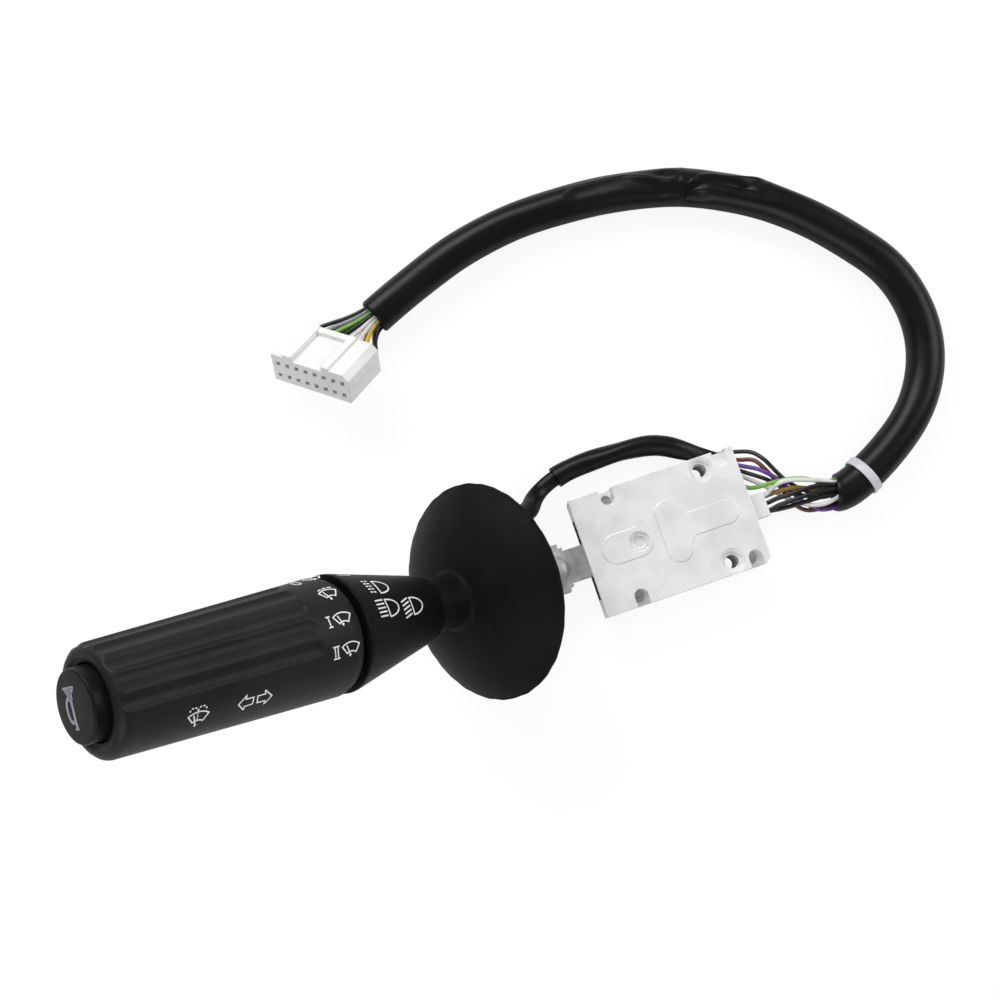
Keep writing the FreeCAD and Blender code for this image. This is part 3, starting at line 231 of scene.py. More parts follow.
def tube(name, line, at, radius, made, body, columns, wall=0.0, **rest):
    """Rings of radius(at, angle) round a line. With a wall, both ends turn in and run back inside it."""
    angle = circle(columns)
    side, lift = frames_of(line)[1:]
    around = np.cos(angle)[None, :, None] * side[:, None] + np.sin(angle)[None, :, None] * lift[:, None]
    reach = radius(at[:, None], angle[None])[..., None]
    rings = line[:, None] + reach * around
    if wall:
        inner = line[:, None] + (reach - wall) * around
        lip = line[:, None] + (reach - LIP * wall) * around
        rings = np.concatenate([
            inner[MOUTH_RINGS[::-1]], lip[:1], rings[1:-1], lip[-1:], inner[-1 - MOUTH_RINGS],
        ])
    count = len(rings)
    caps = [list(range(columns))[::-1], list(range((count - 1) * columns, count * columns))]
    quads = grid_faces(count, columns, False)
    return piece(name, rings.reshape(-1, 3), quads, made, body, caps=caps, sharp=60.0, **rest)


def wire(name, points, made, radius, stands_for):
    """One insulated wire along its own route."""
    curve = curve_of(name, points, radius)
    curve.materials.append(made)
    obj = in_scene(name, curve)
    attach(obj, "housing")
    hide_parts(stands_for)
    exit_point = [c * MM for c in points[0]]
    length_of(line_of(points)) * MM


# Finishes


def node_of(tree, kind, **sockets):
    """A new shader node; each keyword sets the socket of that name, with spaces for underscores."""
    node = tree.nodes.new("ShaderNode" + kind)
    for socket, value in sockets.items():
        node.inputs[socket.replace("_", " ")].default_value = value
    return node


def finish(name, dark, light, rough, patch, grain, bump, metal=0.0, soft=0.0, deep=0.00005,
           specular=0.5, stretch=(1.0, 1.0, 1.0), spread=(0.35, 0.65)):
    """Colour drifts between two shades with slow noise, roughness with faster noise, over a bumpy grain."""
    made = bpy.data.materials.new(name)
    made.use_nodes = True
    tree = made.node_tree
    link = tree.links.new
    shader = tree.nodes["Principled BSDF"]
    shader.inputs["Metallic"].default_value = metal
    shader.inputs["Specular IOR Level"].default_value = specular
    place = node_of(tree, "TexCoord").outputs["Object"]
    mapping = node_of(tree, "Mapping", Scale=stretch)
    link(place, mapping.inputs["Vector"])

    def noise(scale, detail, source):
        node = node_of(tree, "TexNoise", Scale=scale, Detail=detail)
        link(source, node.inputs["Vector"])
        return node.outputs["Fac"]

    ranged = node_of(tree, "MapRange", From_Min=spread[0], From_Max=spread[1])
    link(noise(patch, 4.0, mapping.outputs["Vector"]), ranged.inputs["Value"])
    # sockets 6 and 7 of a colour mix are its two colours, output 2 is the mixed one
    mix = tree.nodes.new("ShaderNodeMix")
    mix.data_type = "RGBA"
    mix.inputs[6].default_value = (*dark, 1.0)
    mix.inputs[7].default_value = (*light, 1.0)
    link(ranged.outputs["Result"], mix.inputs[0])
    link(mix.outputs[2], shader.inputs["Base Color"])
    roughness = node_of(tree, "MapRange", To_Min=rough[0], To_Max=rough[1])
    link(noise(patch * 3.0, 3.0, place), roughness.inputs["Value"])
    link(roughness.outputs["Result"], shader.inputs["Roughness"])
    bumps = node_of(tree, "Bump", Strength=bump, Distance=deep)
    link(noise(grain, 2.0, place), bumps.inputs["Height"])
    if soft:
        edges = node_of(tree, "Bevel", Radius=soft * MM)
        edges.samples = 6
        link(edges.outputs["Normal"], bumps.inputs["Normal"])
    link(bumps.outputs["Normal"], shader.inputs["Normal"])
    return made


def grey(level, blue=0.0):
    """A neutral colour, or one that is a little bluer or yellower."""
    return level, level, level + blue


ZINC = finish("cast_zinc", (0.86, 0.875, 0.885), (0.98, 0.985, 0.99), (0.24, 0.44), 70, 900, 0.22,
              metal=0.28, soft=0.35, deep=0.0001, spread=(0.38, 0.56))
ROOT_ZINC = finish("root_zinc", (0.40, 0.41, 0.41), (0.74, 0.74, 0.72), (0.35, 0.6), 120, 1100, 0.35,
                   metal=0.85, soft=0.3, deep=0.0001)
BLACK = finish("grained_black", grey(0.0095, 0.0005), grey(0.014, 0.0005), (0.44, 0.54), 40, 3200, 0.35,
               deep=0.00006, specular=0.2)
CONE_BLACK = finish("cone_black", grey(0.0045), grey(0.007), (0.38, 0.48), 40, 3200, 0.3,
                    deep=0.00006, specular=0.08)
BUTTON_BLACK = finish("button_black", grey(0.005), grey(0.008), (0.40, 0.50), 60, 3600, 0.3,
                      specular=0.15)
RUBBER = finish("shield_rubber", grey(0.004), grey(0.0065), (0.48, 0.60), 70, 1500, 0.3,
                deep=0.0001, specular=0.08)
VINYL = finish("sleeve_vinyl", grey(0.003), grey(0.006, 0.0005), (0.28, 0.40), 35, 260, 0.12,
               deep=0.0004, specular=0.2)
BASE = finish("base_plastic", grey(0.006, 0.0005), grey(0.012, 0.001), (0.4, 0.55), 60, 2200, 0.25,
              soft=0.25, specular=0.3)
WHITE = finish("plug_white", grey(0.83, -0.02), grey(0.90, -0.015), (0.34, 0.46), 90, 1500, 0.08,
               soft=0.35)
NYLON = finish("natural_nylon", (0.70, 0.69, 0.63), (0.80, 0.79, 0.74), (0.35, 0.5), 90, 1500, 0.1)
STEEL = finish("plain_steel", grey(0.42, -0.01), grey(0.62, -0.01), (0.25, 0.42), 160, 1800, 0.1,
               metal=1.0, stretch=(1.0, 6.0, 1.0))
BRASS = finish("contact_brass", (0.52, 0.36, 0.14), (0.74, 0.56, 0.26), (0.25, 0.4), 300, 2600, 0.08,
               metal=1.0)
TIE = finish("tie_grey", grey(0.56, 0.04), grey(0.66, 0.04), (0.35, 0.5), 150, 1800, 0.12)
PLUG_GREY = finish("blank_grey", grey(0.30, -0.02), grey(0.40, -0.02), (0.4, 0.5), 200, 1800, 0.1)
PRINT = finish("white_print", (0.78, 0.79, 0.82), (0.88, 0.89, 0.91), (0.45, 0.6), 500, 5000, 0.1)
HORN_PRINT = finish("grey_print", grey(0.27, 0.05), grey(0.33, 0.05), (0.4, 0.5), 400, 5000, 0.1)

INSULATION = {
    "black": (0.005, 0.005, 0.0055), "brown": (0.17, 0.035, 0.020), "purple": (0.14, 0.05, 0.36),
    "white": (0.78, 0.78, 0.76), "green": (0.20, 0.48, 0.07), "ochre": (0.34, 0.21, 0.03),
    "yellow": (0.66, 0.47, 0.05), "grey": (0.30, 0.31, 0.33),
}
# smooth soft vinyl, a little duller in patches
WIRES = {
    name: finish("wire_" + name, tuple(0.82 * c for c in colour), colour, (0.28, 0.42), 150, 900, 0.06)
    for name, colour in INSULATION.items()
}

CAD_FINISHES = {
    "die_cast_housing": ZINC, "contact_base": BASE, "base_rivets": STEEL, "turn_pivot_pin": STEEL,
    "turn_contact_strips": BRASS, "turn_detent_track": NYLON, "wire_holder": WHITE, "turn_rotor": NYLON,
    "tilt_pin": STEEL, "turn_detent_plunger": STEEL, "turn_detent_spring": STEEL,
    "turn_contact_bridge": BRASS, "lever_root": ROOT_ZINC, "root_set_screw": STEEL, "lever_tube": STEEL,
    "lead_grommet": RUBBER, "switch_core": NYLON, "washer_spring": STEEL, "washer_contact_leaf": BRASS,
    "core_circlip": STEEL, "horn_contact_plate": BRASS, "horn_spring": STEEL, "horn_contact_pin": BRASS,
    "washer_slider": NYLON, "wiper_detent_ball": STEEL, "wiper_detent_spring": STEEL,
    "wiper_contact_brush": BRASS, "barrel_retaining_ring": STEEL, "wiper_detent_ring": NYLON,
    "connector_housing": WHITE, "connector_terminals": BRASS, "connector_lock": WHITE,
    "cavity_plug": PLUG_GREY,
}
for node_name, look in CAD_FINISHES.items():
    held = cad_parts[node_name]
    held.data.materials.clear()
    held.data.materials.append(look)


# Lever

# the barrel: where it starts, its tapered side, its rounded tip and its button's face
COLLAR_START, SIDE_START, SIDE_END = 116.0, 119.0, 200.1
COLLAR_RADIUS, TIP_RADIUS, TIP_ROUND = 20.2, 17.6, 3.2
FACE = 207.5
# the flutes: cutter radius, depth, where they start, their angles, their reach and the soft edge
CUTTER, FLUTE_DEEP, SCOOP = 4.2, 1.0, 131.0
FLUTES = np.radians(-13.5 + 21.18 * np.arange(13))
FLUTE_REACH, SOFT_EDGE = 0.6, 0.14
# where no flute cuts, the cut's radius is this much too large to matter
FAR_OUT = 9.0
# radii under this are the barrel's end face and its button hole, which the flutes leave alone
FACE_RADIUS = 14.6


def side_radius(station):
    """The straight taper of the barrel: collar radius falling evenly to the tip radius."""
    return COLLAR_RADIUS - (station - SIDE_START) * (COLLAR_RADIUS - TIP_RADIUS) / (SIDE_END - SIDE_START)


def fluted(radius, station, angle):
    """Radius cut by round flutes: D cos d - sqrt(c^2 - D^2 sin^2 d) at angle d from one, blended softly."""
    away = np.abs(wrapped(angle[..., None] - FLUTES)).min(axis=-1)
    scoop = np.sqrt(np.clip(CUTTER**2 - np.clip(SCOOP + CUTTER - station, 0, CUTTER) ** 2, 0, None))
    centre = side_radius(station) + CUTTER - FLUTE_DEEP
    inside = scoop**2 - (centre * np.sin(away)) ** 2
    cut = centre * np.cos(away) - np.sqrt(np.clip(inside, 0, None))
    cut = np.where((inside > 0) & (away < FLUTE_REACH) & (station > SCOOP), cut, radius + FAR_OUT)
    low = np.minimum(radius, cut)
    total = np.exp((low - radius) / SOFT_EDGE) + np.exp((low - cut) / SOFT_EDGE)
    soft = low - SOFT_EDGE * np.log(total)
    outer = (station >= COLLAR_START + 0.1) & (radius > FACE_RADIUS)
    return np.where(outer, soft, radius), station


def wiper_barrel():
    """Outer side in fine steps at the scoops and tip, then the end face, the button hole and the bore."""
    tip = np.linspace(0, math.pi / 2, 12)[1:]
    side = np.concatenate([
        np.linspace(119.6, 130.5, 8), np.linspace(130.9, 136.0, 22), np.linspace(138, SIDE_END, 26),
    ])
    profile = [
        (15.35, COLLAR_START), (18.6, COLLAR_START), (18.85, 116.04), (19.02, 116.2), (19.1, 116.45),
        (19.5, 117.6), (19.86, 118.62), (19.96, 118.82), (20.06, 118.95), (20.13, 119.1), (20.17, 119.3),
    ]
    profile += list(zip(side_radius(side), side))
    profile += list(zip(TIP_RADIUS - TIP_ROUND + TIP_ROUND * np.cos(tip), SIDE_END + TIP_ROUND * np.sin(tip)))
    profile += [
        (14.3, 203.3), (13.6, 203.25), (13.3, 203.0), (12.9, 202.55), (12.5, 202.5), (12.1, 202.4),
        (11.95, 202.1), (11.9, 199.8), (15.35, 199.8),
    ]
    return lathe("wiper_barrel_skin", np.array(profile, float), BLACK, "barrel", columns=720, shape=fluted,
                 sharp=50.0, replaces=("wiper_barrel",))


def horn_button():
    """A cap with a flat face, a rounded edge and a straight skirt."""
    corners = [
        (0.02, 204.3), (9.0, 204.3), (9.0, 190.0), (11.0, 190.0), (11.0, 197.3), (13.0, 197.3),
        (13.0, 199.2), (11.5, 199.2), (11.35, FACE), (0.02, FACE),
    ]
    reach = [0.01, 0.2, 0.2, 0.3, 0.2, 0.3, 0.3, 0.2, 0.95, 0.01]
    return lathe("horn_button_cap", soften(corners, reach, 7), BUTTON_BLACK, "horn", columns=128,
                 sharp=60.0, replaces=("horn_button",))


# the cone's straight side, as (radius, station) of its two ends
CONE_NECK, CONE_END = (12.0, 74.4), (20.3, 112.6)


def lever_cone():
    """The cone with its rounded edges, hollow, and a thin dark lip inside its wide end."""
    corners = [
        (6.05, 73.6), (11.6, 73.6), CONE_NECK, (20.3, 112.9), (20.25, 114.0), (18.1, 114.0),
        (18.1, 113.6), (13.8, 113.6), (13.8, 113.3), (17.9, 113.3), (9.7, 76.5), (6.05, 76.5),
    ]
    reach = [0.1, 0.5, 0.5, 0.6, 0.35, 0.2, 0.1, 0.1, 0.1, 0.1, 0.2, 0.1]
    return lathe("lever_cone_skin", soften(corners, reach, 6), CONE_BLACK, "lever", sharp=50.0,
                 replaces=("lever_cone",))


def cone_radius(station):
    """The straight side of the cone."""
    (near, start), (far, end) = CONE_NECK, CONE_END
    return near + (station - start) * (far - near) / (end - start)


def shield_wave(radius, station, angle):
    """The rim is pulled in by up to 0.9 at one side, and its very edge waves by about a tenth."""
    out = np.clip((radius - 14.0) / 26.6, 0, 1) ** 2
    edge = np.clip((radius - 37.5) / 3.1, 0, 1) ** 2
    pull = 0.9 * np.exp(-((wrapped(angle - 2.2) / 0.8) ** 2))
    wave = 0.07 * np.sin(23 * angle) + 0.06 * np.sin(37 * angle + 1.0)
    return radius - out * pull - edge * (0.15 + wave), station


def dust_shield():
    """Neck, fillet and a dome of radius (R^2 + h^2) / 2h, with its inner side one skin deeper."""
    rise, rim, edge, skin = 16.0, 44.0, 40.6, 2.2
    foot, fillet, bore = 12.8, 3.0, 6.05
    dome = (edge**2 + rise**2) / (2 * rise)
    middle = rim + rise - dome

    def height(radius, depth):
        """The dome's station at a radius, at a depth under its skin."""
        return middle + np.sqrt((dome - depth) ** 2 - radius**2)

    out = np.linspace(foot, edge - 0.5, 40)
    turn = np.linspace(0, math.pi / 2, 8)[1:-1]
    fillet_radius = foot - fillet * np.sin(turn)
    fillet_station = height(foot, 0) + fillet - fillet * np.cos(turn)
    back = np.linspace(edge - 1.9, 7.0, 26)
    profile = [(bore, 73.55), (9.2, 73.55), (9.65, 73.3), (9.8, 72.8), (9.8, 66.0)]
    profile += list(zip(fillet_radius[::-1], fillet_station[::-1]))
    profile += list(zip(out, height(out, 0)))
    profile += [(edge, rim + 0.25), (edge, rim - 0.5), (edge - 0.5, rim - 1.1), (edge - 1.1, rim - 1.1)]
    profile += list(zip(back, height(back, skin))) + [(bore, height(bore, skin))]
    return lathe("dust_shield_dome", np.array(profile), RUBBER, "lever", columns=240, shape=shield_wave,
                 sharp=60.0, replaces=("dust_shield",))


# Printed symbols

STROKE_STEP, STROKE_WIDTH = 0.25, 0.42
PRINT_UNDER, PRINT_OVER = -0.05, 0.045


def stroke(points, closed):
    """A line resampled between its corners, with the mitred normal at each of its points."""
    p = np.array(points, float)
    p = p[np.append(True, steps_of(p) > 1e-6)]
    if closed:
        p = np.vstack([p, p[:1]])
    counts = [max(2, int(np.linalg.norm(b - a) / STROKE_STEP) + 1) for a, b in zip(p, p[1:])]
    parts = [np.linspace(a, b, count)[:-1] for a, b, count in zip(p, p[1:], counts)]
    fine = np.vstack(parts + ([] if closed else [p[-1:]]))
    ahead = np.roll(fine, -1, axis=0) - fine
    behind = fine - np.roll(fine, 1, axis=0)
    if not closed:
        ahead[-1], behind[0] = behind[-1], ahead[0]
    ahead /= np.linalg.norm(ahead, axis=1, keepdims=True)
    behind /= np.linalg.norm(behind, axis=1, keepdims=True)
    both = ahead + behind
    normal = np.stack([-both[:, 1], both[:, 0]], axis=1)
    normal /= np.maximum((normal**2).sum(axis=1, keepdims=True) / 2, 0.7)
    return fine, normal


def printed(name, strokes, place, body, made=PRINT):
    """Each stroke is a low bar: two edges at half its width, just under the surface and just over it."""
    points, quads, caps, count = [], [], [], 0
    for entry in strokes:
        whole = entry if isinstance(entry, tuple) else (entry, False)
        line, closed, wide = (*whole, STROKE_WIDTH)[:3]
        fine, normal = stroke(line, closed)
        left, right = fine + normal * wide / 2, fine - normal * wide / 2
        rings = [place(left, PRINT_UNDER), place(left, PRINT_OVER), place(right, PRINT_OVER),
                 place(right, PRINT_UNDER)]
        bar = np.stack(rings, axis=1)
        faces = grid_faces(len(fine), 4, closed)
        if not outward(bar.reshape(-1, 3), faces):
            bar = bar[:, ::-1]
        points.append(bar.reshape(-1, 3))
        quads.append(faces + count)
        if not closed:
            last = count + 4 * len(fine) - 4
            caps += [[count + k for k in (3, 2, 1, 0)], [last + k for k in range(4)]]
        count += 4 * len(fine)
    mesh = bpy.data.meshes.new(name)
    mesh.from_pydata((np.vstack(points) * MM).tolist(), [], np.vstack(quads).tolist() + caps)
    mesh.materials.append(made)
    obj = in_scene(name, mesh)
    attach(obj, body)
    return obj


def beside(station, degrees, radius_at, size=1.0):
    """Places symbol points: x runs towards the shield, y round the lever."""

    def place(points, lift):
        along = station - size * points[:, 0]
        radius = radius_at(along)
        return on_lever(along, radius + lift, math.radians(degrees) + size * points[:, 1] / radius)

    return place


def arc(x, y, radius, start, end, count=14):
    """Points of a circle's arc between two angles in degrees."""
    turn = np.radians(np.linspace(start, end, count))
    return np.stack([x + radius * np.cos(turn), y + radius * np.sin(turn)], axis=1)


def fan(drop=0.0):
    """The swept window: an outer arc, two sides and an inner arc; then the wiper blade and its pivot."""
    outer = arc(0.15, -3.73, 5.73, 125.3, 53.8)
    inner = arc(0.15, -3.73, 2.78, 51, 126, 8)
    blade, foot = [(-1.4, 1.15), (-0.3, -1.9 - drop)], (-0.25, -2.0 - drop)
    return [(np.vstack([outer, inner]), True), blade, (arc(*foot, 0.22, 0, 300, 8), False, 0.5)]


def dashes(line, count, share):
    """A line cut into equal dashes, each of which fills a share of its length."""
    p = np.array(line, float)
    along = stations_of(p)
    dash = share * along[-1] / count
    found = []
    for start in np.linspace(0, along[-1], count, endpoint=False):
        at = np.linspace(start, start + dash, 4)
        found.append(np.stack([np.interp(at, along, p[:, k]) for k in (0, 1)], axis=1))
    return found


def lamp(slant=0.0, broken=False, ahead=0.0):
    """A headlamp: a D, its flat side away from the shield, and five beams, straight, slanted or broken."""
    body = arc(0.0, 0.0, 1.0, 90, -90, 22) * [5.3, 3.0] + [-1.25 + ahead, 0.25]
    found = [(body, True, 0.52)]
    for y in np.linspace(3.3, -2.3, 5):
        start, end = (-2.3 + 0.4 * ahead, y + 0.1), (-6.0 + 0.8 * ahead, y + 0.1 - slant)
        beam = dashes([start, end], 2, 0.66) if broken else [[start, end]]
        found += [(dash, False, 0.55) for dash in beam]
    return found


def symbols():
    """The generic pictograms of the barrel and the cone."""
    numeral = [[(0, 1.7), (0, -1.7)], [(-0.8, 1.75), (0.8, 1.75)], [(-0.8, -1.75), (0.8, -1.75)]]
    pair = [[(-0.55, 1.9), (-0.55, -1.9)], [(0.55, 1.9), (0.55, -1.9)], [(-1.3, 1.95), (1.3, 1.95)],
            [(-1.3, -1.95), (1.3, -1.95)]]
    zero = [(np.vstack([arc(0, 1.0, 1.0, 0, 180, 9), arc(0, -1.0, 1.0, 180, 360, 9)]), True)]
    sweep = dashes(arc(0.4, -4.4, 7.3, 114, 66), 3, 0.7)
    right = [(0.7, 1.2), (3.5, 1.2), (3.3, 2.6), (6.0, -0.1), (3.7, -2.8), (3.7, -1.4), (0.85, -1.35)]
    arrows = [(right, True), ([(-x, y) for x, y in right], True)]
    spray = dashes(arc(-1.45, 2.2, 1.4, 5, 185, 12), 4, 0.6)
    spray += dashes(arc(1.3, 2.2, 1.45, 175, -10, 12), 4, 0.6)
    spray += dashes([(-0.1, 2.2), (0.0, -1.3)], 5, 0.45)
    marks = {
        "barrel": [
            ("print_off", zero, beside(126.9, 68.0, side_radius)),
            ("print_off_wiper", fan(), beside(119.9, 69.5, side_radius)),
            ("print_interval", fan(0.3) + sweep, beside(122.4, 35.6, side_radius)),
            ("print_one", numeral, beside(127.9, 7.1, side_radius)),
            ("print_one_wiper", fan(), beside(122.9, 7.4, side_radius)),
            ("print_two", pair, beside(127.9, -21.9, side_radius)),
            ("print_two_wiper", fan(0.15), beside(122.4, -20.9, side_radius)),
            ("print_arrows", arrows, beside(158.1, -46.1, side_radius)),
            ("print_washer", fan(0.9) + spray, beside(178.1, -47.9, side_radius, size=1.04)),
        ],
        "lever": [
            ("print_flash", lamp(0.0, True, 1.4), beside(101.9, 33.8, cone_radius)),
            ("print_main_beam", lamp(), beside(101.0, 5.9, cone_radius)),
            ("print_dipped", lamp(1.1), beside(88.9, 1.9, cone_radius)),
            ("print_index", [([(-3.5, 0.0), (2.0, 0.0)], False, 0.5)], beside(108.0, 62.0, cone_radius)),
        ],
    }
    for body, entries in marks.items():
        for name, strokes, place in entries:
            printed(name, strokes, place, body)


def horn_symbol():
    """A horn, upright on the button: a flared bell, a tube to the mouthpiece and a loop beside it."""

    def place(points, lift):
        return KINK + (FACE + lift) * ALONG + points[:, :1] * UPWARD + points[:, 1:] * ACROSS

    loop = [(-2.0, 3.4), (-3.4, 3.0), (-4.5, 1.7), (-5.0, 0.0), (-5.0, -2.0), (-4.3, -3.5),
            (-3.2, -4.1), (-2.2, -3.6)]
    strokes = [
        ([(-4.2, 6.3), (2.3, 5.5)], False, 0.9), ([(-3.3, 5.5), (1.6, 4.95)], False, 1.3),
        ([(-2.7, 4.7), (0.5, 4.3)], False, 1.3), ([(-1.25, 4.4), (-1.1, 2.2)], False, 2.5),
        ([(-0.95, 3.9), (-1.3, 0.5), (-1.8, -3.0), (-2.0, -6.0)], False, 1.25),
        (soften(loop, 0.8, 4, closed=False), False, 1.1), ([(-3.1, -5.9), (-1.1, -6.1)], False, 0.8),
    ]
    printed("print_horn", strokes, place, "horn", HORN_PRINT)


# Harness

LOOM_ROUTE = [
    (48.5, -6.0, 8.0), (51.8, -7.5, 8.0), (72.5, 1.6, 8.0), (90.9, 14.9, 8.0), (101.8, 32.1, 8.0),
    (105.2, 52.1, 8.0), (100.6, 72.0, 8.0), (88.9, 88.3, 8.0), (74.5, 104.5, 8.0), (57.5, 118.0, 8.0),
    (36.0, 129.5, 8.0), (10.0, 136.3, 8.0), (-18.0, 139.0, 8.0), (-45.0, 138.0, 8.0),
    (-73.5, 130.8, 8.0), (-100.2, 119.3, 8.0),
]
LOOM_RADIUS, LOOM_WALL, LOOM_STEP = 7.4, 1.0, 0.9
# the band's section as (radius, distance along), and where it sits from the route's second point
TIE_SECTION = [(7.45, -1.8), (8.25, -1.8), (8.25, 1.8), (7.45, 1.8)]
TIE_AT, TIE_COLUMNS = 10.8, 72
# dents: station along the loom, facing in degrees (0 outwards, 90 up), length, width in radians, depth
FOLDS = [
    (173.5, 80, 5.0, 0.34, 1.8), (165.0, 62, 3.2, 0.55, 1.1), (205.0, 55, 4.5, 0.36, 1.2),
    (193.5, 118, 5.0, 0.4, 0.9), (156.5, 66, 9.0, 0.4, 0.8), (198.5, 60, 1.1, 0.7, -0.45),
    (203.5, 84, 2.4, 0.16, -0.4), (166.5, 0, 5.0, 0.5, -0.6), (203.0, 0, 8.0, 0.6, -0.35),
    (184.0, 0, 7.0, 0.6, 0.35),
]
# ridges: stations, facing at each of them, height and width in radians
RIDGES = [
    ((166.0, 169.2, 175.7, 181.8, 188.0, 192.1, 196.3, 200.5), (5, 20, 45, 56, 57, 66, 102, 150),
     0.75, 0.13),
    ((205.0, 212.0, 221.6, 231.0, 246.0), (88, 68, 50, 54, 60), 0.45, 0.16),
    ((186.0, 192.0, 196.0, 199.0), (104, 112, 128, 150), 0.35, 0.12),
]
RIDGE_FADE = 4.0

LEAD_ROUTE = [
    (-83.9, 8.5, 30.5), (-83.4, 19.0, 30.0), (-76.5, 25.0, 21.0), (-67.5, 24.5, 11.5), (-62.3, 31.5, 6.0),
    (-51.2, 36.2, 4.5), (-37.7, 37.4, 4.3), (-23.2, 37.0, 4.3), (-10.2, 35.3, 4.3), (0.6, 28.2, 4.3),
    # the soft end goes on under the clipped corner of the block
    (6.0, 24.7, 2.5), (11.5, 20.5, 2.4),
]
LEAD_STEP, LEAD_SPLIT, LEAD_COLUMNS = 0.8, 0.45, 48
# how far before a run's end it starts to be pressed flat, and the distance that this takes
FLAT_FROM, FLAT_RUN = 22.0, 14.0


def crease(at, angle, where, facing, long, wide, deep):
    """A dent: minus its depth times a bell curve of the distance along and round the tube."""
    return -deep * np.exp(-(((at - where) / long) ** 2) - (wrapped(angle - facing) / wide) ** 2)


def ridge(at, angle, stations, facings, high, wide):
    """A raised line at an angle that wanders along the tube, and a hollow below it; both fade at the ends."""
    off = wrapped(angle - np.interp(at, stations, np.radians(facings)))
    fade = np.clip((at - stations[0]) / RIDGE_FADE, 0, 1) * np.clip((stations[-1] - at) / RIDGE_FADE, 0, 1)
    raised, hollow = np.exp(-((off / wide) ** 2)), np.exp(-(((off - 0.45) / 0.36) ** 2))
    return fade * (high * raised - 1.5 * high * hollow)


def loom_radius(at, angle):
    """LOOM_RADIUS, flattened by 4% at the far side of the loop, dented in folds and waving a little."""
    slack = np.exp(-(((at - 190.0) / 45.0) ** 2))
    reach = LOOM_RADIUS * (1 + 0.04 * slack * np.cos(2 * angle))
    for where, facing, long, wide, deep in FOLDS:
        reach = reach + crease(at, angle, where, math.radians(facing), long, wide, deep)
    for stations, facings, high, wide in RIDGES:
        reach = reach + ridge(at, angle, stations, facings, high, wide)
    return reach + 0.05 * np.sin(at / 9.0 + 2 * angle) + 0.04 * np.sin(at / 5.0 - 3 * angle)


def loom_sleeve():
    """The soft main sleeve, open at both ends, and the band round it; the connector at its end is the frame's
    own.
    """
    line, at = even(line_of(LOOM_ROUTE), LOOM_STEP)
    sleeve = tube("loom_sleeve_skin", line, at, loom_radius, VINYL, "housing", 120, wall=LOOM_WALL,
                  replaces=("loom_sleeve",))
    names = ("connector_housing", "connector_terminals", "connector_lock", "cavity_plug")
    going = [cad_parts[name] for name in names]
    going + [tie_ring()]


def tie_ring():
    """A flat band round the sleeve: a rounded rectangle turned about the sleeve's first straight run."""
    corners = soften(TIE_SECTION, 0.35, 5)
    angle = circle(TIE_COLUMNS)
    start = np.array(LOOM_ROUTE[1])
    ahead = np.array(LOOM_ROUTE[2]) - start
    ahead /= np.linalg.norm(ahead)
    up = np.array([0, 0, 1.0])
    around = np.cos(angle)[:, None] * np.cross(ahead, up) + np.sin(angle)[:, None] * up
    middle = start + ahead * TIE_AT
    points = middle + corners[:, None, :1] * around[None] + corners[:, None, 1:] * ahead
    band = piece("tie_band", points.reshape(-1, 3), grid_faces(len(corners), TIE_COLUMNS, True), TIE,
                 "housing", replaces=("tie_ring",))
    return band


def lead_radius(at, angle):
    """An oval, pressed flat before its run's end: half height from 4 to 1.75, half width from 4.1 to 3.2."""
    flat = np.clip((at - at[-1] + FLAT_FROM) / FLAT_RUN, 0, 1)
    flat = flat * flat * (3 - 2 * flat)
    wide, high = 4.1 - 0.9 * flat, 4.0 - 2.25 * flat
    oval = 1 / np.sqrt((np.cos(angle) / wide) ** 2 + (np.sin(angle) / high) ** 2)
    twist = 0.25 * np.cos(2 * angle - at / 9.0) + 0.12 * np.sin(at / 3.5 - 2 * angle)
    return oval + (1 - flat) * twist


def lever_lead():
    """The lever's own sleeve in two lengths, which overlap by a few rings where they meet; both stay where
    they are drawn.
    """
    line, at = even(line_of(LEAD_ROUTE), LEAD_STEP)
    half = int(len(line) * LEAD_SPLIT)
    for name, part, bodies in (("lever_lead_upper", slice(0, half + 2), ("lever", "rotor")),
                               ("lever_lead_lower", slice(half - 1, None), ("rotor", "housing"))):
        run = line[part]
        sleeve = tube(name, run, at[part], lead_radius, VINYL, None, LEAD_COLUMNS,
                      replaces=("lever_lead_sleeve",))
        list(bodies)
        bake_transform(sleeve)
        length_of(run) * MM


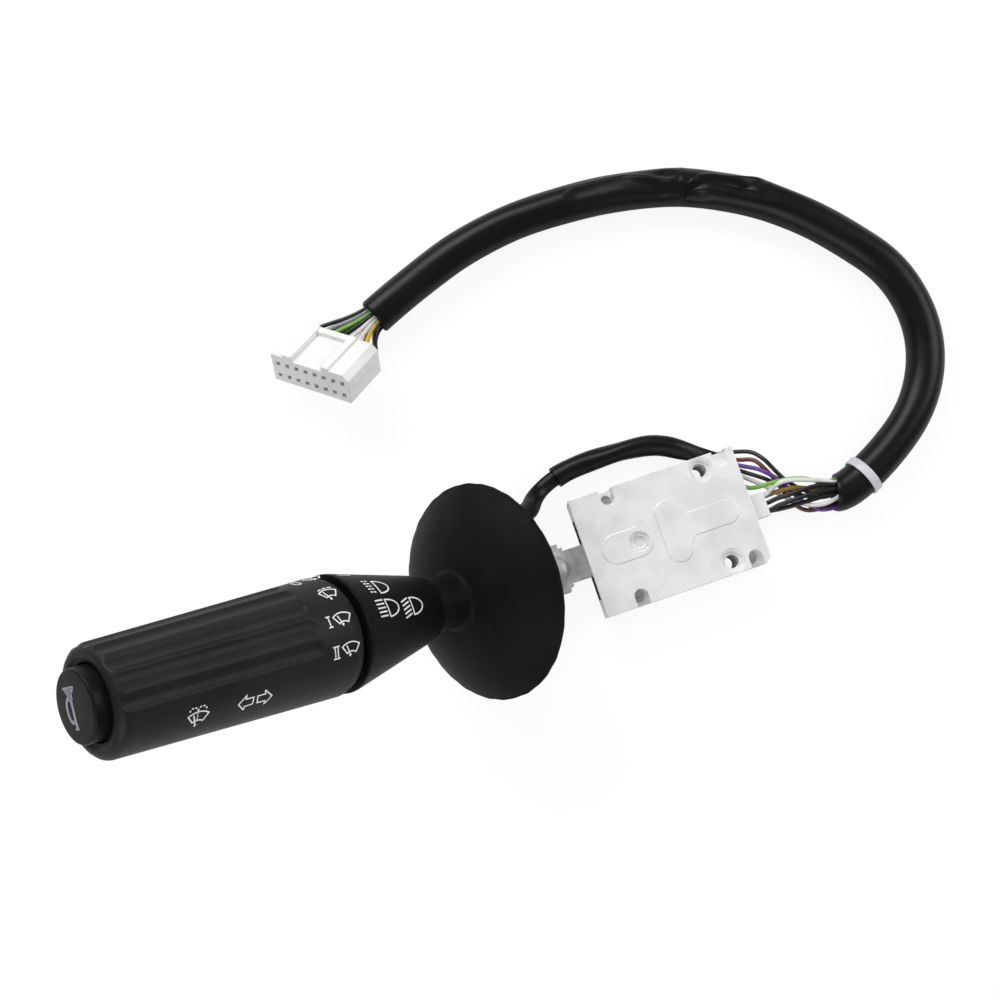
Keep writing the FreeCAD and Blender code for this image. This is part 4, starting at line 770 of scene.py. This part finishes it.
LEAD_WIRES = [
    ("black", [(8.4, 24.0, 2.9), (14.5, 23.2, 3.0), (18.5, 22.2, 3.4), (24.0, 20.2, 5.5), (27.2, 15.4, 8.2),
               (29.0, 10.8, 8.8), (32.0, 5.0, 8.0), (38.0, -2.0, 7.5), (48.0, -6.5, 8.0), (60.0, -3.5, 8.5)]),
    ("brown", [(8.0, 23.2, 1.9), (17.7, 18.8, 3.2), (23.8, 17.2, 5.0), (26.0, 12.6, 7.0), (28.5, 7.0, 7.2),
               (31.0, -1.5, 6.2), (34.5, -8.6, 6.4), (41.8, -10.4, 6.9), (50.0, -9.8, 6.6),
               (60.0, -6.0, 6.0)]),
    ("purple", [(7.8, 22.8, 3.0), (17.6, 16.6, 3.6), (23.9, 12.9, 6.2), (26.8, 9.4, 8.3), (31.0, 5.0, 7.0),
                (35.0, -3.5, 5.6), (39.3, -9.4, 6.9), (43.5, -11.4, 8.0), (50.0, -11.4, 8.6),
                (60.0, -7.5, 8.5)]),
    ("black", [(7.4, 22.6, 1.9), (18.2, 14.0, 3.0), (22.1, 10.9, 4.5), (26.3, 7.4, 6.0), (31.0, 2.0, 5.6),
               (38.0, -4.0, 6.2), (48.0, -7.5, 6.6), (60.0, -4.5, 6.4)]),
    ("white", [(7.2, 22.2, 2.8), (17.8, 11.8, 3.4), (21.2, 8.6, 4.5), (24.8, 5.1, 5.5), (29.5, -1.0, 6.5),
               (35.0, -6.5, 9.6), (41.5, -9.1, 11.2), (47.5, -8.5, 11.8), (53.0, -6.8, 11.6),
               (60.0, -4.0, 11.0)]),
    ("green", [(7.0, 21.6, 2.2), (14.9, 16.5, 2.6), (15.6, 11.0, 4.5), (16.3, 6.8, 8.6), (20.3, 5.5, 11.4),
               (27.2, 5.4, 12.6), (34.4, 4.4, 12.5), (40.5, 2.2, 11.6), (46.0, -1.8, 9.8),
               (60.0, -1.0, 9.0)]),
]
# colour, then the wire's place across and up in the holder, then its route from there
HOLDER_WIRES = [
    ("white", 3.0, 1.4, [(25.5, 3.6, 11.6), (29.0, 4.7, 13.2), (33.5, 4.0, 13.4), (39.0, 2.0, 13.5),
                         (46.0, -0.6, 12.2), (51.0, -3.4, 11.0), (60.0, -1.6, 10.6)]),
    ("ochre", 3.0, -1.4, [(25.5, 1.6, 9.4), (29.9, 1.6, 11.0), (35.2, 0.6, 11.0), (41.0, -2.2, 9.8),
                          (50.0, -4.8, 9.2), (60.0, -2.4, 8.0)]),
    ("black", 0.0, 1.4, [(25.5, -0.9, 10.6), (30.5, -1.2, 12.4), (38.0, -1.0, 13.2), (44.6, -1.6, 12.8),
                         (50.5, -4.0, 12.0), (60.0, -3.4, 12.0)]),
    ("black", -3.0, 1.4, [(25.5, -3.6, 10.4), (30.5, -3.7, 12.0), (39.0, -3.5, 13.0), (46.9, -4.2, 12.7),
                          (51.5, -5.8, 12.4), (60.0, -4.4, 12.4)]),
    ("black", -3.0, -1.4, [(25.5, -5.0, 7.4), (31.5, -5.6, 9.2), (39.4, -5.8, 11.3), (47.1, -6.3, 11.5),
                           (52.3, -7.2, 10.4), (60.0, -5.6, 10.2)]),
]
THIN_WIRE, HOLDER_WIRE = 0.85, 0.9
# where the holder's wires start and leave it, and the middle of the block that they start around
HOLDER_INSIDE, HOLDER_OUTSIDE, HOLDER_Y, HOLDER_Z = 18.5, 22.5, -1.4, 8.15


def harness_wires():
    """Wires from the lever lead and from the holder, each into the mouth of the sleeve."""
    for number, (colour, points) in enumerate(LEAD_WIRES):
        wire("lead_wire_%d" % (number + 1), points, WIRES[colour], THIN_WIRE, "lead_wires")
    for number, (colour, across, up, points) in enumerate(HOLDER_WIRES):
        start = [(x, HOLDER_Y + across, HOLDER_Z + up) for x in (HOLDER_INSIDE, HOLDER_OUTSIDE)]
        wire("holder_wire_%d" % (number + 1), start + points, WIRES[colour], HOLDER_WIRE, "holder_wires")


# the connector's place, and its turns about Z, Y and X in degrees
PLUG_SPOT, PLUG_TURNS = np.array([-123.2, 106.2, 17.85]), (140.3, 18.5, 34.7)
PITCH, CAVITY_BACK, STRAIGHT_UNTIL = 4.25, -9.5, -13.0
# each row's level in the connector, and its colours from one end, with None at the blank
PLUG_ROWS = [
    (1.7, ["black", "grey", "green", "black", "white", "white", "yellow", "black"]),
    (-3.9, ["black", "black", "green", "black", "white", "yellow", None, "black"]),
]


def connector_wires():
    """Fifteen wires that gather from the cavities' backs into the end of the sleeve."""
    axes = turned(*PLUG_TURNS)
    line = even(line_of(LOOM_ROUTE), 1.2)[0]
    tangent, side, lift = (v[-1] for v in frames_of(line))
    for row, (level, colours) in enumerate(PLUG_ROWS):
        for column, colour in enumerate(colours):
            if colour is None:
                continue
            x = (3.5 - column) * PITCH
            back = PLUG_SPOT + axes @ np.array([x, CAVITY_BACK, level])
            near = PLUG_SPOT + axes @ np.array([x, STRAIGHT_UNTIL, level])
            spot = side * (x * 0.3) + lift * (2.0 - 4.0 * row)
            mouth = line[-1] + spot
            points = [back, near, mouth + tangent * 4.0, mouth - tangent * 6.0, line[-14] + spot * 0.9]
            wire("plug_wire_%d_%d" % (row + 1, column + 1), [tuple(p) for p in points], WIRES[colour],
                 THIN_WIRE, "connector_wires")


# Setting

# in metres, as is the whole setting
FLOOR_REACH, FLOOR_GAP = 3, 0.0004
GLOW_SHARE, GLOW_STRENGTH = 0.86, 1.04
WORLD_LIGHT, WORLD_SEEN = 0.24, 1.0
# name, place, what it shines at, size and watts
LAMPS = [
    ("key", (-0.25, 0.85, 0.75), (-0.05, 0.03, 0.02), (0.9, 0.5), 9.0),
    ("fill", (-0.5, -0.6, 0.55), (-0.08, 0.0, 0.03), (0.7, 0.5), 3.0),
    ("side", (0.8, 0.1, 0.6), (0.0, 0.05, 0.02), (0.6, 0.6), 4.0),
]
LAMP_TOP = (0.0, 1.0, 0.2)
# the camera's place, and its turns about Z, Y and X in degrees
CAMERA_SPOT, CAMERA_TURNS = np.array([-87.83, -28.38, 553.64]) * MM, (-18.7467, 0.934, 6.5299)
LENS, SENSOR = 50.38, 36.0


def pale_floor():
    """A matt floor just under the object, which shows itself to the camera as mostly even white."""
    low, far = cad_box[0][2] - FLOOR_GAP, FLOOR_REACH
    corners = [(-far, -far, low), (far, -far, low), (far, far, low), (-far, far, low)]
    mesh = bpy.data.meshes.new("floor")
    mesh.from_pydata(corners, [], [(0, 1, 2, 3)])
    in_scene("floor", mesh)
    made = bpy.data.materials.new("floor")
    made.use_nodes = True
    tree = made.node_tree
    link = tree.links.new
    shader = tree.nodes["Principled BSDF"]
    shader.inputs["Base Color"].default_value = (0.93, 0.93, 0.93, 1)
    shader.inputs["Roughness"].default_value = 0.9
    glow = node_of(tree, "Emission", Strength=GLOW_STRENGTH)
    mix = node_of(tree, "MixShader")
    path = node_of(tree, "LightPath")
    share = node_of(tree, "Math")
    share.operation = "MULTIPLY"
    share.inputs[1].default_value = GLOW_SHARE
    link(path.outputs["Is Camera Ray"], share.inputs[0])
    link(share.outputs[0], mix.inputs[0])
    link(shader.outputs[0], mix.inputs[1])
    link(glow.outputs[0], mix.inputs[2])
    link(mix.outputs[0], tree.nodes["Material Output"].inputs["Surface"])
    mesh.materials.append(made)


def even_world():
    """A white world, dimmer as a light than as a background."""
    world = bpy.data.worlds.new("studio")
    world.use_nodes = True
    tree = world.node_tree
    sky = tree.nodes["Background"]
    sky.inputs["Color"].default_value = (1, 1, 1, 1)
    seen = node_of(tree, "LightPath")
    level = node_of(tree, "MapRange", To_Min=WORLD_LIGHT, To_Max=WORLD_SEEN)
    tree.links.new(seen.outputs["Is Camera Ray"], level.inputs["Value"])
    tree.links.new(level.outputs["Result"], sky.inputs["Strength"])
    bpy.context.scene.world = world


def looking(spot, back, hint):
    """A placement with its back along one direction and its top near a hint."""
    back = np.array(back) / np.linalg.norm(back)
    right = np.cross(hint, back)
    right /= np.linalg.norm(right)
    return placement(right, np.cross(back, right), back, spot)


def placement(right, up, back, spot):
    """A 4 x 4 matrix from three directions and a place."""
    placed = np.eye(4)
    placed[:3, 0], placed[:3, 1], placed[:3, 2], placed[:3, 3] = right, up, back, spot
    return Matrix(placed.tolist())


def soft_lamps():
    """Three large rectangular lamps."""
    for name, spot, aim, size, power in LAMPS:
        data = bpy.data.lights.new(name, "AREA")
        data.shape = "RECTANGLE"
        data.size, data.size_y = size
        data.energy = power
        back = np.array(spot, float) - np.array(aim, float)
        in_scene(name, data).matrix_world = looking(spot, back, LAMP_TOP)


def camera():
    """The photograph's view, from over the lever's end."""
    right, up, back = turned(*CAMERA_TURNS).T
    data = bpy.data.cameras.new("camera")
    data.lens, data.sensor_width = LENS, SENSOR
    data.clip_start, data.clip_end = 0.05, 20.0
    obj = in_scene("camera", data)
    obj.matrix_world = placement(right, up, back, CAMERA_SPOT)
    bpy.context.scene.camera = obj


for shell in (wiper_barrel(), lever_cone()):
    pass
horn_button()
dust_shield()
symbols()
horn_symbol()
loom_sleeve()
lever_lead()
harness_wires()
connector_wires()
pale_floor()
even_world()
soft_lamps()
camera()
bpy.context.scene.view_settings.view_transform = "Standard"
